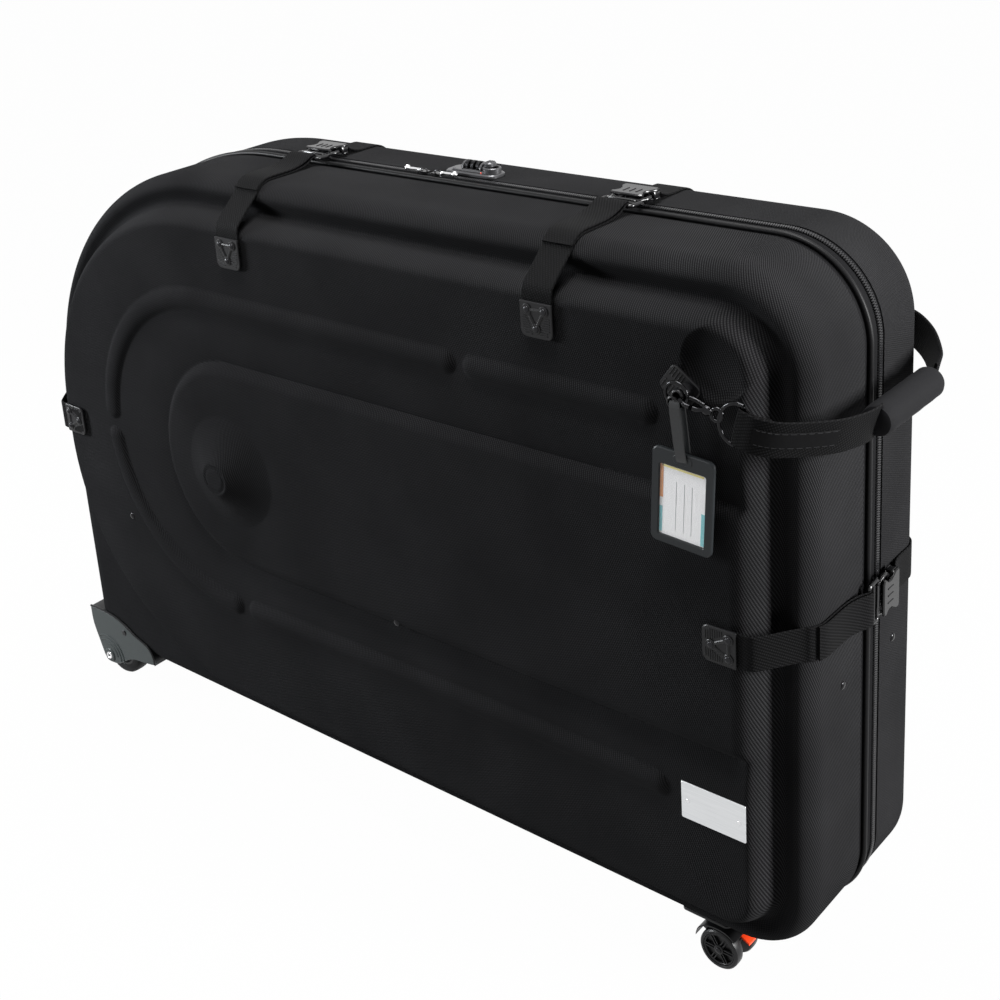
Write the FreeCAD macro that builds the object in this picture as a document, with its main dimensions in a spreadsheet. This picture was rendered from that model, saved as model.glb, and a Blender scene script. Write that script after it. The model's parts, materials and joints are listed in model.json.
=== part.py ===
"""Bike travel case: two moulded shells joined by a zip and a cloth hinge, on two wheels and two casters.

Millimetres. X runs along the case towards the casters, -Y is the front face, Z is up from the floor.
"""
import FreeCAD, Part
import math
import os
import Sketcher

SIZES = {
    # Shell outline
    "length": 1180, "body_height": 755, "ground_clearance": 58,
    "corner_top_left": 360, "corner_top_right": 100,
    "corner_bottom_right": 86, "corner_bottom_left": 60,
    # Shell depth, measured from the datum plane Y = 0
    "front_rim": 4, "front_depth": 112, "front_panel_rise": 28,
    "back_rim": 36, "back_depth": 124, "back_panel_rise": 16,
    "wall": 6, "border_round": 30,
    # Raised panel, plate and ribs moulded in both shells
    "panel_margin": 33, "panel_round": 14, "panel_left_run": 42,
    "plate_rise": 6, "plate_rib_gap": 57, "plate_shift": 40, "plate_drop": 7,
    "plate_end_gap": 26, "plate_end_round": 10,
    "rib_rise": 5, "rib_width": 26, "rib_half_height": 222, "rib_from_left": 368,
    "rib_anchor_gap": 39, "rib_from_right": 160, "rib_gap": 20,
    "rib_top_gap_place": 234, "rib_bottom_gap_place": 18,
    "hub_shift": 13, "hub_drop": 5, "hub_base_radius": 73, "hub_top_radius": 22, "hub_rise": 27,
    "dish_from_right": 80, "dish_from_top": 83, "dish_radius": 36, "dish_depth": 4,
    # Zip and welt round the rims
    "zip_line": 27, "zip_gap": 0.5, "zip_tape": 1.6, "tooth_band": 5, "tooth_rise": 3,
    "zip_inset": 3, "seat": 0.3, "welt_radius": 3, "welt_place": 8,
    "slider_length": 16, "slider_width": 11, "slider_height": 7,
    "slider_spacing": 22, "slider_x": 24, "pull_length": 26, "pull_width": 8, "pull_thickness": 2.4,
    # Cloth hinge along the bottom
    "hinge_length": 900, "hinge_flap": 40, "hinge_cloth": 1.6, "hinge_slit": 0.6,
    # Lock on the back shell
    "lock_x": 74, "lock_length": 74, "lock_depth": 30, "lock_height": 15, "lock_place": 48,
    "dial_radius": 6.5, "dial_width": 5, "dial_pitch": 8, "button_travel": 4, "button_length": 12,
    # Straps and buckles
    "strap_width": 38, "strap_thickness": 2.4, "top_strap_from_left": 440, "top_strap_from_right": 282,
    "side_strap_drop": 7, "anchor_length": 38, "anchor_width": 40, "anchor_thickness": 4,
    "anchor_drop": 92, "anchor_overhang": 2, "rivet_radius": 2.2, "rivet_rise": 1.2,
    "buckle_length": 34, "buckle_width": 48, "buckle_height": 13, "buckle_wall": 2.4,
    "tongue_front": -8, "tongue_length": 20, "prong_length": 24, "prong_width": 7, "prong_play": 1.6,
    # Carrying handle, snap hook and tag
    "loop_from_right": 111, "loop_from_top": 112, "loop_radius": 12, "wire_radius": 2,
    "hook_radius": 9, "hook_place": 18, "gate_length": 9, "eye_radius": 8, "eye_wire": 1.8, "ring_radius": 22,
    "hook_anchor_width": 40, "hook_anchor_height": 30, "hook_anchor_round": 6, "hook_anchor_shift": 7,
    "handle_reach": 38, "handle_droop": 14, "handle_webbing": 4.8, "handle_corner": 52, "handle_pin": 3,
    "grip_radius": 16, "grip_length": 118, "grip_core": 22, "grip_place": 10, "tail_gap": 0.5,
    "tag_width": 68, "tag_height": 100, "tag_thickness": 5, "tag_frame": 8, "tag_strap_width": 12,
    "tag_strap_length": 46, "tag_strap_thickness": 1.6, "card_thickness": 0.6,
    # Wheels, casters and their mountings
    "wheel_radius": 40, "wheel_width": 24, "wheel_hub_radius": 27, "wheel_from_left": 22, "wheel_inset": 28,
    "housing_length": 100, "housing_height": 112, "housing_depth": 64, "housing_proud": 4,
    "housing_ear": 52, "housing_lead": 32, "housing_drop": 32, "housing_round": 12, "ear_thickness": 3.6,
    "axle_radius": 4, "running_gap": 0.05, "wheel_gap": 4,
    "caster_from_right": 135, "caster_inset": 36, "caster_trail": 18, "caster_radius": 24, "caster_width": 14,
    "caster_spread": 15.5, "caster_plate_length": 60, "caster_plate_width": 40, "caster_plate": 4,
    "stem_radius": 5, "stem_boss_radius": 13, "screw_inset": 6, "hood_gap": 1.2, "hood_thickness": 3,
    "caster_axle": 3, "tab_pin": 1.5, "tab_length": 22, "tab_width": 14, "tab_thickness": 5,
    # Badge, shell rivets and inner straps
    "badge_from_right": 92, "badge_below_plate": 71, "badge_length": 76, "badge_width": 44,
    "badge_thickness": 1.5, "plate_rivet_gap": 8, "plate_rivet_from_right": 518, "rib_rivet_share": 0.91,
    "shell_rivet_radius": 4.5, "inner_strap_width": 25,
    "end_rivet_height": 312, "end_rivet_front": 43, "end_rivet_back": 65,
    "board_from_ends": 110, "board_thickness": 5,
}


class Size:
    """A number together with the formula of sheet names that gives it."""

    def __init__(self, number, formula):
        self.number = float(number)
        self.formula = formula

    @staticmethod
    def of(value):
        if isinstance(value, Size):
            return value
        return Size(value, repr(float(value)))

    def join(self, other, sign, number):
        return Size(number, f"({self.formula} {sign} {Size.of(other).formula})")

    def __add__(self, other):
        return self.join(other, "+", self.number + Size.of(other).number)

    def __sub__(self, other):
        return self.join(other, "-", self.number - Size.of(other).number)

    def __mul__(self, other):
        return self.join(other, "*", self.number * Size.of(other).number)

    def __truediv__(self, other):
        return self.join(other, "/", self.number / Size.of(other).number)

    def __neg__(self):
        return Size.of(-1) * self

    def __radd__(self, other):
        return Size.of(other) + self

    def __rsub__(self, other):
        return Size.of(other) - self

    def __rmul__(self, other):
        return Size.of(other) * self


class Names:
    """The sheet's values, one attribute for each alias."""


doc = FreeCAD.newDocument("bike_travel_case")
sheet = doc.addObject("Spreadsheet::Sheet", "Sizes")
for row, (alias, value) in enumerate(SIZES.items(), start=1):
    sheet.set(f"A{row}", alias)
    sheet.set(f"B{row}", str(value))
    sheet.setAlias(f"B{row}", alias)
doc.recompute()
s = Names()
for alias in SIZES:
    setattr(s, alias, Size(sheet.get(alias), f"Sizes.{alias}"))

# Places along the case follow its ends, and the relief of the faces follows the strap anchors above it.
left_side = -s.length / 2
right_side = s.length / 2
s.panel_bottom_left = s.body_height - s.panel_margin - s.corner_top_left - s.panel_left_run
s.rib_centre_x = left_side + s.rib_from_left
s.rib_end_x = right_side - s.rib_from_right
s.rib_top_height = s.body_height - s.anchor_drop - s.anchor_overhang - s.rib_anchor_gap
s.rib_centre_height = s.rib_top_height - s.rib_half_height
s.rib_top_gap_x = s.rib_end_x - s.rib_top_gap_place
s.rib_bottom_gap_x = s.rib_centre_x + s.rib_bottom_gap_place
s.plate_centre_x = s.rib_centre_x + s.plate_shift
s.plate_half_height = s.rib_half_height - s.rib_width - s.plate_rib_gap
s.plate_centre_height = s.rib_centre_height - s.plate_drop
s.hub_x = s.plate_centre_x - s.hub_shift
s.hub_height = s.plate_centre_height - s.hub_drop
s.dish_x = right_side - s.dish_from_right
s.dish_height = s.body_height - s.dish_from_top
s.top_strap_left = left_side + s.top_strap_from_left
s.top_strap_right = right_side - s.top_strap_from_right
s.side_strap_height = s.plate_centre_height - s.side_strap_drop
s.loop_x = right_side - s.loop_from_right
s.loop_height = s.body_height - s.loop_from_top
s.wheel_x = left_side + s.wheel_from_left
s.caster_x = right_side - s.caster_from_right
s.badge_x = right_side - s.badge_from_right
s.badge_height = s.plate_centre_height - s.plate_half_height - s.badge_below_plate
s.shell_rivet_height = s.plate_centre_height - s.plate_half_height + s.plate_rivet_gap
s.shell_rivet_left = s.rib_centre_x - s.rib_half_height * s.rib_rivet_share
s.shell_rivet_right = right_side - s.plate_rivet_from_right
s.board_length = s.length - s.board_from_ends * 2

NODES = []


def number(value):
    return Size.of(value).number


def bind(item, path, value):
    """Set one property from the sheet, or from a plain number."""
    item.setExpression(path, Size.of(value).formula)


def node(item, label):
    """Give an object the name of its file."""
    item.Label = label
    NODES.append(item)
    return item


def place(item, x, y, z):
    for axis, value in zip("xyz", (x, y, z)):
        bind(item, f"Placement.Base.{axis}", value)


def box(name, x, y, z, length, width, height):
    """A box from its lowest corner."""
    item = doc.addObject("Part::Box", name)
    bind(item, "Length", length)
    bind(item, "Width", width)
    bind(item, "Height", height)
    place(item, x, y, z)
    return item


def middle_box(name, x, y, z, length, width, height):
    """A box from its middle."""
    return box(name, x - length / 2, y - width / 2, z - height / 2, length, width, height)


AXES = {
    "x": FreeCAD.Rotation(FreeCAD.Vector(0, 1, 0), 90),
    "y": FreeCAD.Rotation(FreeCAD.Vector(1, 0, 0), -90),
    "z": FreeCAD.Rotation(),
}


def cylinder(name, axis, x, y, z, radius, height):
    """A cylinder that starts at a point and runs along +axis."""
    item = doc.addObject("Part::Cylinder", name)
    item.Placement.Rotation = AXES[axis]
    bind(item, "Radius", radius)
    bind(item, "Height", height)
    place(item, x, y, z)
    return item


def torus(name, axis, x, y, z, radius, wire):
    item = doc.addObject("Part::Torus", name)
    item.Placement.Rotation = AXES[axis]
    bind(item, "Radius1", radius)
    bind(item, "Radius2", wire)
    place(item, x, y, z)
    return item


def cut(name, base, *tools):
    for count, tool in enumerate(tools, start=1):
        item = doc.addObject("Part::Cut", f"{name}_{count}")
        item.Base = base
        item.Tool = tool
        base = item
    doc.recompute()
    return base


def fuse(name, *items):
    item = doc.addObject("Part::MultiFuse", name)
    item.Shapes = list(items)
    item.Refine = True
    doc.recompute()
    return item


def common(name, *items):
    item = doc.addObject("Part::MultiCommon", name)
    item.Shapes = list(items)
    doc.recompute()
    return item


def group(name, items):
    """Separate solids that share one node."""
    item = doc.addObject("Part::Compound", name)
    item.Links = list(items)
    doc.recompute()
    return item


def rounded(name, base, radius, wanted):
    """Round the edges that a test picks out."""
    doc.recompute()
    item = doc.addObject("Part::Fillet", name)
    item.Base = base
    chosen = [index for index, edge in enumerate(base.Shape.Edges, start=1) if wanted(edge)]
    item.Edges = [(index, number(radius), number(radius)) for index in chosen]
    doc.recompute()
    return item


def along(axis):
    """A test for straight edges along one axis."""
    direction = {"x": (1, 0, 0), "y": (0, 1, 0), "z": (0, 0, 1)}[axis]

    def test(edge):
        if not isinstance(edge.Curve, Part.Line):
            return False
        return abs(edge.Curve.Direction.dot(FreeCAD.Vector(*direction))) > 0.999
    return test


def is_round(edge):
    """A test for circles."""
    return isinstance(edge.Curve, Part.Circle)


def feature(name, shape):
    item = doc.addObject("Part::Feature", name)
    item.Shape = shape
    return item


# Outline of the case
half_length = s.length / 2
floor_z = s.ground_clearance
top_z = s.ground_clearance + s.body_height
front_face = s.front_depth + s.front_panel_rise
back_face = s.back_depth + s.back_panel_rise


def origin_plane(body):
    return [item for item in body.Origin.OriginFeatures if item.Role == "XZ_Plane"][0]


def rounded_sketch(body, name, forward, left, right, bottom, top, radii):
    """A rectangle with four rounded corners on a plane square to Y, a distance in front of the datum."""
    sketch = body.newObject("Sketcher::SketchObject", name)
    sketch.AttachmentSupport = [(origin_plane(body), "")]
    sketch.MapMode = "FlatFace"
    bind(sketch, "AttachmentOffset.Base.z", forward)
    x0, x1, z0, z1 = (number(value) for value in (left, right, bottom, top))
    top_left, top_right, bottom_right, bottom_left = (number(value) for value in radii)
    up = FreeCAD.Vector(0, 0, 1)

    def line(ax, az, bx, bz):
        return Part.LineSegment(FreeCAD.Vector(ax, az, 0), FreeCAD.Vector(bx, bz, 0))

    def arc(cx, cz, radius, start):
        circle = Part.Circle(FreeCAD.Vector(cx, cz, 0), up, radius)
        return Part.ArcOfCircle(circle, math.radians(start), math.radians(start + 90))
    sketch.addGeometry([
        line(x1, z0 + bottom_right, x1, z1 - top_right),
        arc(x1 - top_right, z1 - top_right, top_right, 0),
        line(x1 - top_right, z1, x0 + top_left, z1),
        arc(x0 + top_left, z1 - top_left, top_left, 90),
        line(x0, z1 - top_left, x0, z0 + bottom_left),
        arc(x0 + bottom_left, z0 + bottom_left, bottom_left, 180),
        line(x0 + bottom_left, z0, x1 - bottom_right, z0),
        arc(x1 - bottom_right, z0 + bottom_right, bottom_right, 270),
    ], False)
    rules = [Sketcher.Constraint("Tangent", item, 2, (item + 1) % 8, 1) for item in range(8)]
    rules += [Sketcher.Constraint("Vertical", 0), Sketcher.Constraint("Vertical", 4)]
    rules += [Sketcher.Constraint("Horizontal", 2), Sketcher.Constraint("Horizontal", 6)]
    sketch.addConstraint(rules)
    driven = [("right", "DistanceX", 0, right), ("left", "DistanceX", 4, left),
              ("top", "DistanceY", 2, top), ("bottom", "DistanceY", 6, bottom)]
    for title, kind, item, value in driven:
        index = sketch.addConstraint(Sketcher.Constraint(kind, item, 1, number(value)))
        sketch.renameConstraint(index, title)
        bind(sketch, f"Constraints.{title}", value)
    corners = [("top_right", 1, radii[1]), ("top_left", 3, radii[0]),
               ("bottom_left", 5, radii[3]), ("bottom_right", 7, radii[2])]
    for title, item, value in corners:
        index = sketch.addConstraint(Sketcher.Constraint("Radius", item, number(value)))
        sketch.renameConstraint(index, title)
        bind(sketch, f"Constraints.{title}", value)
    doc.recompute()
    return sketch


def outline(body, name, forward, inset):
    """The case's outline, set in by a distance."""
    return rounded_sketch(
        body, name, forward, inset - half_length, half_length - inset, floor_z + inset, top_z - inset,
        (s.corner_top_left - inset, s.corner_top_right - inset,
         s.corner_bottom_right - inset, s.corner_bottom_left - inset))


def panel_outline(body, name, forward, inset):
    """The raised panel's outline: a deep round at both left corners."""
    reach = s.panel_margin + inset
    return rounded_sketch(
        body, name, forward, reach - half_length, half_length - reach, floor_z + reach, top_z - reach,
        (s.corner_top_left - reach, s.corner_top_right - reach,
         s.corner_bottom_right - reach, s.panel_bottom_left - inset))


def pad(body, name, sketch, length, side):
    """Raise a sketch away from the datum: the front is side -1."""
    item = body.newObject("PartDesign::Pad", name)
    item.Profile = sketch
    item.Reversed = side > 0
    bind(item, "Length", length)
    doc.recompute()
    return item


def pocket(body, name, sketch, length, side):
    """Cut a sketch away from the datum."""
    before = body.Shape.Volume
    item = body.newObject("PartDesign::Pocket", name)
    item.Profile = sketch
    item.Reversed = side < 0
    bind(item, "Length", length)
    doc.recompute()
    if body.Shape.Volume > before - 1:
        raise RuntimeError(f"{name} cut nothing")
    return item


def soften(body, name, radius, depth):
    """Round every edge that lies in the plane at one depth."""
    tip = body.Tip
    chosen = []
    for index, edge in enumerate(tip.Shape.Edges, start=1):
        box_of = edge.BoundBox
        if abs(box_of.YMin - depth) < 0.01 and abs(box_of.YMax - depth) < 0.01:
            chosen.append(f"Edge{index}")
    item = body.newObject("PartDesign::Fillet", name)
    item.Base = (tip, chosen)
    bind(item, "Radius", radius)
    doc.recompute()
    return item


def solid_cone(body, name, kind, side, x, y, z, low, high, height):
    """A cone on a shell's face, its narrow end away from the datum."""
    item = body.newObject(kind, name)
    bind(item, "Radius1", low)
    bind(item, "Radius2", high)
    bind(item, "Height", height)
    item.Placement.Rotation = FreeCAD.Rotation(FreeCAD.Vector(1, 0, 0), 90 if side < 0 else -90)
    place(item, x, -y if side < 0 else y, z)
    doc.recompute()
    return item


def ribs(body, label, ahead, face, side):
    """A U-shaped rib round the plate, broken in three places."""
    middle = floor_z + s.rib_centre_height
    inner = s.rib_half_height - s.rib_width
    left = s.rib_centre_x - s.rib_half_height
    outer_edge = rounded_sketch(
        body, f"{label}_rib_edge", ahead(face - s.wall), left, s.rib_end_x,
        middle - s.rib_half_height, middle + s.rib_half_height,
        (s.rib_half_height - 1, s.rib_width, s.rib_width, s.rib_half_height - 1))
    pad(body, f"{label}_rib", outer_edge, s.wall + s.rib_rise, side)
    inner_edge = rounded_sketch(
        body, f"{label}_rib_inner_edge", ahead(face), left + s.rib_width, s.rib_end_x + s.rib_width * 2,
        middle - inner, middle + inner, (inner - 1, s.rib_width, s.rib_width, inner - 1))
    pocket(body, f"{label}_rib_inside", inner_edge, s.rib_rise + 1, side)
    gaps = [("top", s.rib_top_gap_x - s.rib_gap / 2, middle + inner, s.rib_gap, s.rib_width),
            ("bottom", s.rib_bottom_gap_x - s.rib_gap / 2, middle - s.rib_half_height,
             s.rib_gap, s.rib_width),
            ("left", left, middle - s.rib_gap / 2, s.rib_width * 2, s.rib_gap)]
    for title, x, z, length, height in gaps:
        gap = body.newObject("PartDesign::SubtractiveBox", f"{label}_rib_gap_{title}")
        bind(gap, "Length", length)
        bind(gap, "Width", s.rib_rise)
        bind(gap, "Height", height)
        place(gap, x, -face - s.rib_rise if side < 0 else face, z)
        doc.recompute()


housing_left = s.wheel_x - s.housing_lead


def form(name, side, rim, depth, rise, inset):
    """The border and the raised panel as one solid body, set in by a distance."""
    body = doc.addObject("PartDesign::Body", name)
    face = depth + rise - inset
    border = depth - inset
    start = rim - inset
    root = border - s.wall / 2

    def ahead(value):
        # A sketch's normal points to -Y, so the back shell takes the distance negative.
        return value if side < 0 else -value
    pad(body, f"{name}_border", outline(body, f"{name}_edge", ahead(start), inset), border - start, side)
    soften(body, f"{name}_border_round", s.border_round - inset, side * number(border))
    panel = panel_outline(body, f"{name}_panel_edge", ahead(root), inset)
    pad(body, f"{name}_panel", panel, face - root, side)
    soften(body, f"{name}_panel_round", s.panel_round - inset, side * number(face))
    return body, ahead, face


def shell(label, side, rim, depth, rise):
    """One moulded shell: border, raised panel, plate, ribs and hub bulge, hollow behind."""
    outer, ahead, face = form(f"{label}_outside", side, rim, depth, rise, Size.of(0))
    hub_z = floor_z + s.hub_height
    ribs(outer, label, ahead, face, side)
    plate_z = floor_z + s.plate_centre_height
    plate = rounded_sketch(
        outer, f"{label}_plate_edge", ahead(face - s.wall / 2),
        s.plate_centre_x - s.plate_half_height, half_length - s.panel_margin - s.plate_end_gap,
        plate_z - s.plate_half_height, plate_z + s.plate_half_height,
        (s.plate_half_height - 1, s.plate_end_round, s.plate_end_round, s.plate_half_height - 1))
    pad(outer, f"{label}_plate", plate, s.wall / 2 + s.plate_rise, side)
    solid_cone(outer, f"{label}_hub", "PartDesign::AdditiveCone", side, s.hub_x, face, hub_z,
               s.hub_base_radius, s.hub_top_radius, s.plate_rise + s.hub_rise)
    if side < 0:
        dish_radius = (s.dish_radius * s.dish_radius + s.dish_depth * s.dish_depth) / (s.dish_depth * 2)
        dish = outer.newObject("PartDesign::SubtractiveSphere", f"{label}_dish")
        bind(dish, "Radius", dish_radius)
        place(dish, s.dish_x, s.dish_depth - face - dish_radius, floor_z + s.dish_height)
    inner, ahead, inner_face = form(f"{label}_inside", side, rim, depth, rise, s.wall)
    solid_cone(inner, f"{label}_hub_inside", "PartDesign::AdditiveCone", side, s.hub_x, inner_face, hub_z,
               s.hub_base_radius, s.hub_top_radius - s.wall / 2, s.plate_rise + s.hub_rise)
    depth_in = depth + s.housing_proud - s.housing_depth - s.seat
    notch_y = -depth_in - s.housing_depth - s.seat if side < 0 else depth_in
    notch = box(f"{label}_notch", housing_left - s.housing_length, notch_y, Size.of(0),
                s.housing_length * 2 + s.seat, s.housing_depth + s.seat, s.housing_height + s.seat)
    return node(cut(f"{label}_hollow", outer, inner, notch), label)


# Shells
front_shell = shell("front_shell", -1, s.front_rim, s.front_depth, s.front_panel_rise)
back_shell = shell("back_shell", 1, s.back_rim, s.back_depth, s.back_panel_rise)

# Zip, welt and cloth hinge
hinge_z = floor_z - s.hinge_cloth


def ring(name, low, high, outer, inner):
    """A band that follows the case's outline between two Y planes, given as insets from it."""
    body = doc.addObject("PartDesign::Body", name)
    pad(body, f"{name}_outside", outline(body, f"{name}_edge", -high, outer), high - low, -1)
    pocket(body, f"{name}_inside", outline(body, f"{name}_inner_edge", -high, inner), high - low, -1)
    return body


def open_below(name, item):
    """Leave out the run along the bottom, where the cloth hinge is."""
    gap = box(f"{name}_gap", -s.hinge_length / 2, -s.front_depth, Size.of(0), s.hinge_length,
              s.front_depth + s.back_depth, floor_z + s.corner_bottom_left / 2)
    return cut(f"{name}_open", item, gap)


def zip_half(label, side):
    """Tape and teeth of one side of the zip."""
    if side < 0:
        teeth_low, teeth_high = s.zip_line - s.tooth_band, s.zip_line - s.zip_gap / 2
        tape_low, tape_high = -s.front_rim, teeth_high - s.tooth_band / 2
    else:
        teeth_low, teeth_high = s.zip_line + s.zip_gap / 2, s.zip_line + s.tooth_band
        tape_low, tape_high = teeth_low + s.tooth_band / 2, s.back_rim
    tape = ring(f"{label}_tape", tape_low, tape_high, s.zip_inset, s.zip_inset + s.zip_tape)
    teeth_out = s.zip_inset + s.zip_tape - s.tooth_rise
    teeth = ring(f"{label}_teeth", teeth_low, teeth_high, teeth_out, s.zip_inset + s.zip_tape)
    return node(open_below(label, fuse(f"{label}_whole", tape, teeth)), label)


zip_half("front_zip", -1)
zip_half("back_zip", 1)
welt_out = s.zip_inset - s.welt_radius * 2
welt = ring("welt_ring", s.welt_place - s.welt_radius, s.welt_place + s.welt_radius, welt_out, s.zip_inset)
soften(welt, "welt_front_round", s.welt_radius * 0.9, number(s.welt_place - s.welt_radius))
soften(welt, "welt_back_round", s.welt_radius * 0.9, number(s.welt_place + s.welt_radius))
node(open_below("front_welt", welt), "front_welt")
node(box("hinge_front", -s.hinge_length / 2, s.zip_line - s.hinge_flap, hinge_z, s.hinge_length,
         s.hinge_flap - s.hinge_slit / 2, s.hinge_cloth), "hinge_cloth_front")
node(box("hinge_back", -s.hinge_length / 2, s.zip_line + s.hinge_slit / 2, hinge_z, s.hinge_length,
         s.hinge_flap - s.hinge_slit / 2, s.hinge_cloth), "hinge_cloth_back")

# Zip sliders and pulls
slider_z = top_z - s.zip_inset - s.zip_tape + s.tooth_rise + s.seat
for title, way in (("left", -1), ("right", 1)):
    x = s.slider_x + s.slider_spacing / 2 * way
    end_x = x + s.slider_length / 2 * way
    slider = middle_box(f"slider_{title}_block", x, s.zip_line, slider_z + s.slider_height / 2,
                        s.slider_length, s.slider_width, s.slider_height)
    pin_x = end_x - s.pull_thickness * way
    pin_z = slider_z + s.slider_height - s.pull_thickness
    pin_radius = s.pull_thickness / 3
    slot = middle_box(f"slider_{title}_slot", end_x, s.zip_line, slider_z + s.slider_height,
                      s.pull_thickness * 5, s.pull_width + s.seat * 2, s.pull_thickness * 4)
    pin = cylinder(f"slider_{title}_pin", "y", pin_x, s.zip_line - s.slider_width / 2, pin_z,
                   pin_radius, s.slider_width)
    slotted = cut(f"slider_{title}_slotted", slider, slot)
    node(fuse(f"slider_{title}_whole", slotted, pin), f"zip_slider_{title}")
    # The short end behind the pin clears the slot's floor when the pull is lifted.
    blade_x = pin_x + (s.pull_length / 2 - s.pull_thickness * 0.7) * way
    blade = middle_box(f"pull_{title}_blade", blade_x, s.zip_line, pin_z, s.pull_length, s.pull_width,
                       s.pull_thickness)
    eye = cylinder(f"pull_{title}_eye", "y", pin_x, s.zip_line - s.pull_width, pin_z,
                   pin_radius + s.running_gap, s.pull_width * 2)
    round_blade = rounded(f"pull_{title}_round", blade, s.pull_width * 0.45, along("z"))
    node(cut(f"pull_{title}_bored", round_blade, eye), f"zip_pull_{title}")

# Lock
lock_z = top_z
lock_y = s.lock_place
case_box = middle_box("lock_block", s.lock_x, lock_y, lock_z + s.lock_height / 2,
                      s.lock_length, s.lock_depth, s.lock_height)
case_round = rounded("lock_round", case_box, s.lock_height / 4,
                     lambda edge: edge.CenterOfMass.z > number(lock_z) + 1)
dial_z = lock_z + s.lock_height - s.dial_radius * 0.7
tools = []
dial_bore = s.dial_radius / 4
for count in (1, 2, 3):
    dial_x = s.lock_x + s.dial_pitch * (count - 2)
    tools.append(middle_box(f"dial_slot_{count}", dial_x, lock_y, dial_z, s.dial_width + 1,
                            s.dial_radius * 2 + 1, s.dial_radius * 2 + 1))
    disc = cylinder(f"dial_disc_{count}", "x", dial_x - s.dial_width / 2, lock_y, dial_z,
                    s.dial_radius, s.dial_width)
    bore = cylinder(f"dial_bore_{count}", "x", dial_x - s.dial_width, lock_y, dial_z,
                    dial_bore + s.running_gap, s.dial_width * 2)
    node(cut(f"dial_{count}", disc, bore), f"lock_dial_{count}")
button_x = s.lock_x + s.lock_length / 2 - s.button_length
button_slot = s.button_length + s.button_travel + 1
tools.append(middle_box("button_slot", button_x, lock_y, lock_z + s.lock_height, button_slot,
                        s.lock_depth / 2, s.lock_height / 2))
dial_axle = cylinder("dial_axle", "x", s.lock_x - s.dial_pitch * 2, lock_y, dial_z,
                     dial_bore, s.dial_pitch * 4)
node(fuse("lock_whole", cut("lock_hollow", case_round, *tools), dial_axle), "lock_body")
node(rounded("button_round", middle_box(
    "button_block", button_x - s.button_travel / 2, lock_y, lock_z + s.lock_height, s.button_length,
    s.lock_depth / 2 - 1, s.lock_height / 2 - s.seat * 2), 2, along("z")), "lock_button")


# Straps, anchors and buckles
def taut_path(start, corners, end):
    """A path pulled tight over round corners, drawn just outside their arcs.

    Each corner is a centre and a radius, and the path leaves the face square to Y and ends along Y.
    """
    turns = [math.pi]
    for (first, first_radius), (second, second_radius) in zip(corners, corners[1:]):
        along_y = second[0] - first[0]
        along_e = second[1] - first[1]
        lean = math.asin((second_radius - first_radius) / math.hypot(along_y, along_e))
        turns.append(math.atan2(along_e, along_y) + lean + math.pi / 2)
    turns.append(math.pi / 2)
    path = [start]
    pieces = 3
    for (centre, radius), first, last in zip(corners, turns, turns[1:]):
        step = (last - first) / pieces
        reach = radius / math.cos(step / 2)
        for count in range(pieces):
            angle = first + step * (count + 0.5)
            path.append((centre[0] + reach * math.cos(angle), centre[1] + reach * math.sin(angle)))
    return path + [end]


def strap_path(depth, face, near, on_plate):
    """Middle line of a strap over one edge: distances from the datum plane, and out from the edge."""
    lift = number(s.strap_thickness) / 2 + number(s.seat)
    margin = number(s.panel_margin)
    bend = number(s.panel_round)
    border = number(s.border_round)
    corners = [((-number(face) + bend, -margin - bend), bend + lift),
               ((-number(depth) + border, -border), border + lift)]
    flat = -number(face)
    if on_plate:
        flat -= number(s.plate_rise)
        corners.insert(0, ((flat, -margin - number(s.plate_end_gap)), lift))
    return taut_path((flat - lift, -number(s.anchor_drop)), corners, (-number(near), lift))


def ribbon(path, thickness, width, spot):
    """A flat band of even thickness along a path, given the spot of each point across its width."""
    half = number(thickness) / 2
    normals = []
    for first, second in zip(path, path[1:]):
        run = math.hypot(second[0] - first[0], second[1] - first[1])
        normals.append(((first[1] - second[1]) / run, (second[0] - first[0]) / run))
    left, right = [], []
    for index, (a, b) in enumerate(path):
        before = normals[max(index - 1, 0)]
        after = normals[min(index, len(normals) - 1)]
        mitre = 1 + before[0] * after[0] + before[1] * after[1]
        step = ((before[0] + after[0]) / mitre * half, (before[1] + after[1]) / mitre * half)
        left.append(spot(a + step[0], b + step[1], 0))
        right.append(spot(a - step[0], b - step[1], 0))
    loop = left + right[::-1]
    face = Part.Face(Part.makePolygon(loop + loop[:1]))
    return face.extrude(spot(0, 0, number(width)) - spot(0, 0, 0))


def edge_spots(side):
    """For the four straps, the point at a depth, a distance out from the edge and a place across."""
    def top(x):
        return lambda y, e, w: FreeCAD.Vector(x - number(s.strap_width) / 2 + w, side * -y, number(top_z) + e)

    def end(way):
        low = number(floor_z + s.side_strap_height - s.strap_width / 2)
        return lambda y, e, w: FreeCAD.Vector(way * (number(half_length) + e), side * -y, low + w)
    return [top(number(s.top_strap_left)), top(number(s.top_strap_right)), end(-1), end(1)]


def block(spot, y, e, w):
    """A box between pairs of depths, distances out and places across."""
    corners = [spot(y[0], e[0], w[0]), spot(y[1], e[1], w[1])]
    low = FreeCAD.Vector(*(min(pair) for pair in zip(*corners)))
    high = FreeCAD.Vector(*(max(pair) for pair in zip(*corners)))
    size = high - low
    return Part.makeBox(size.x, size.y, size.z, low)


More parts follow.
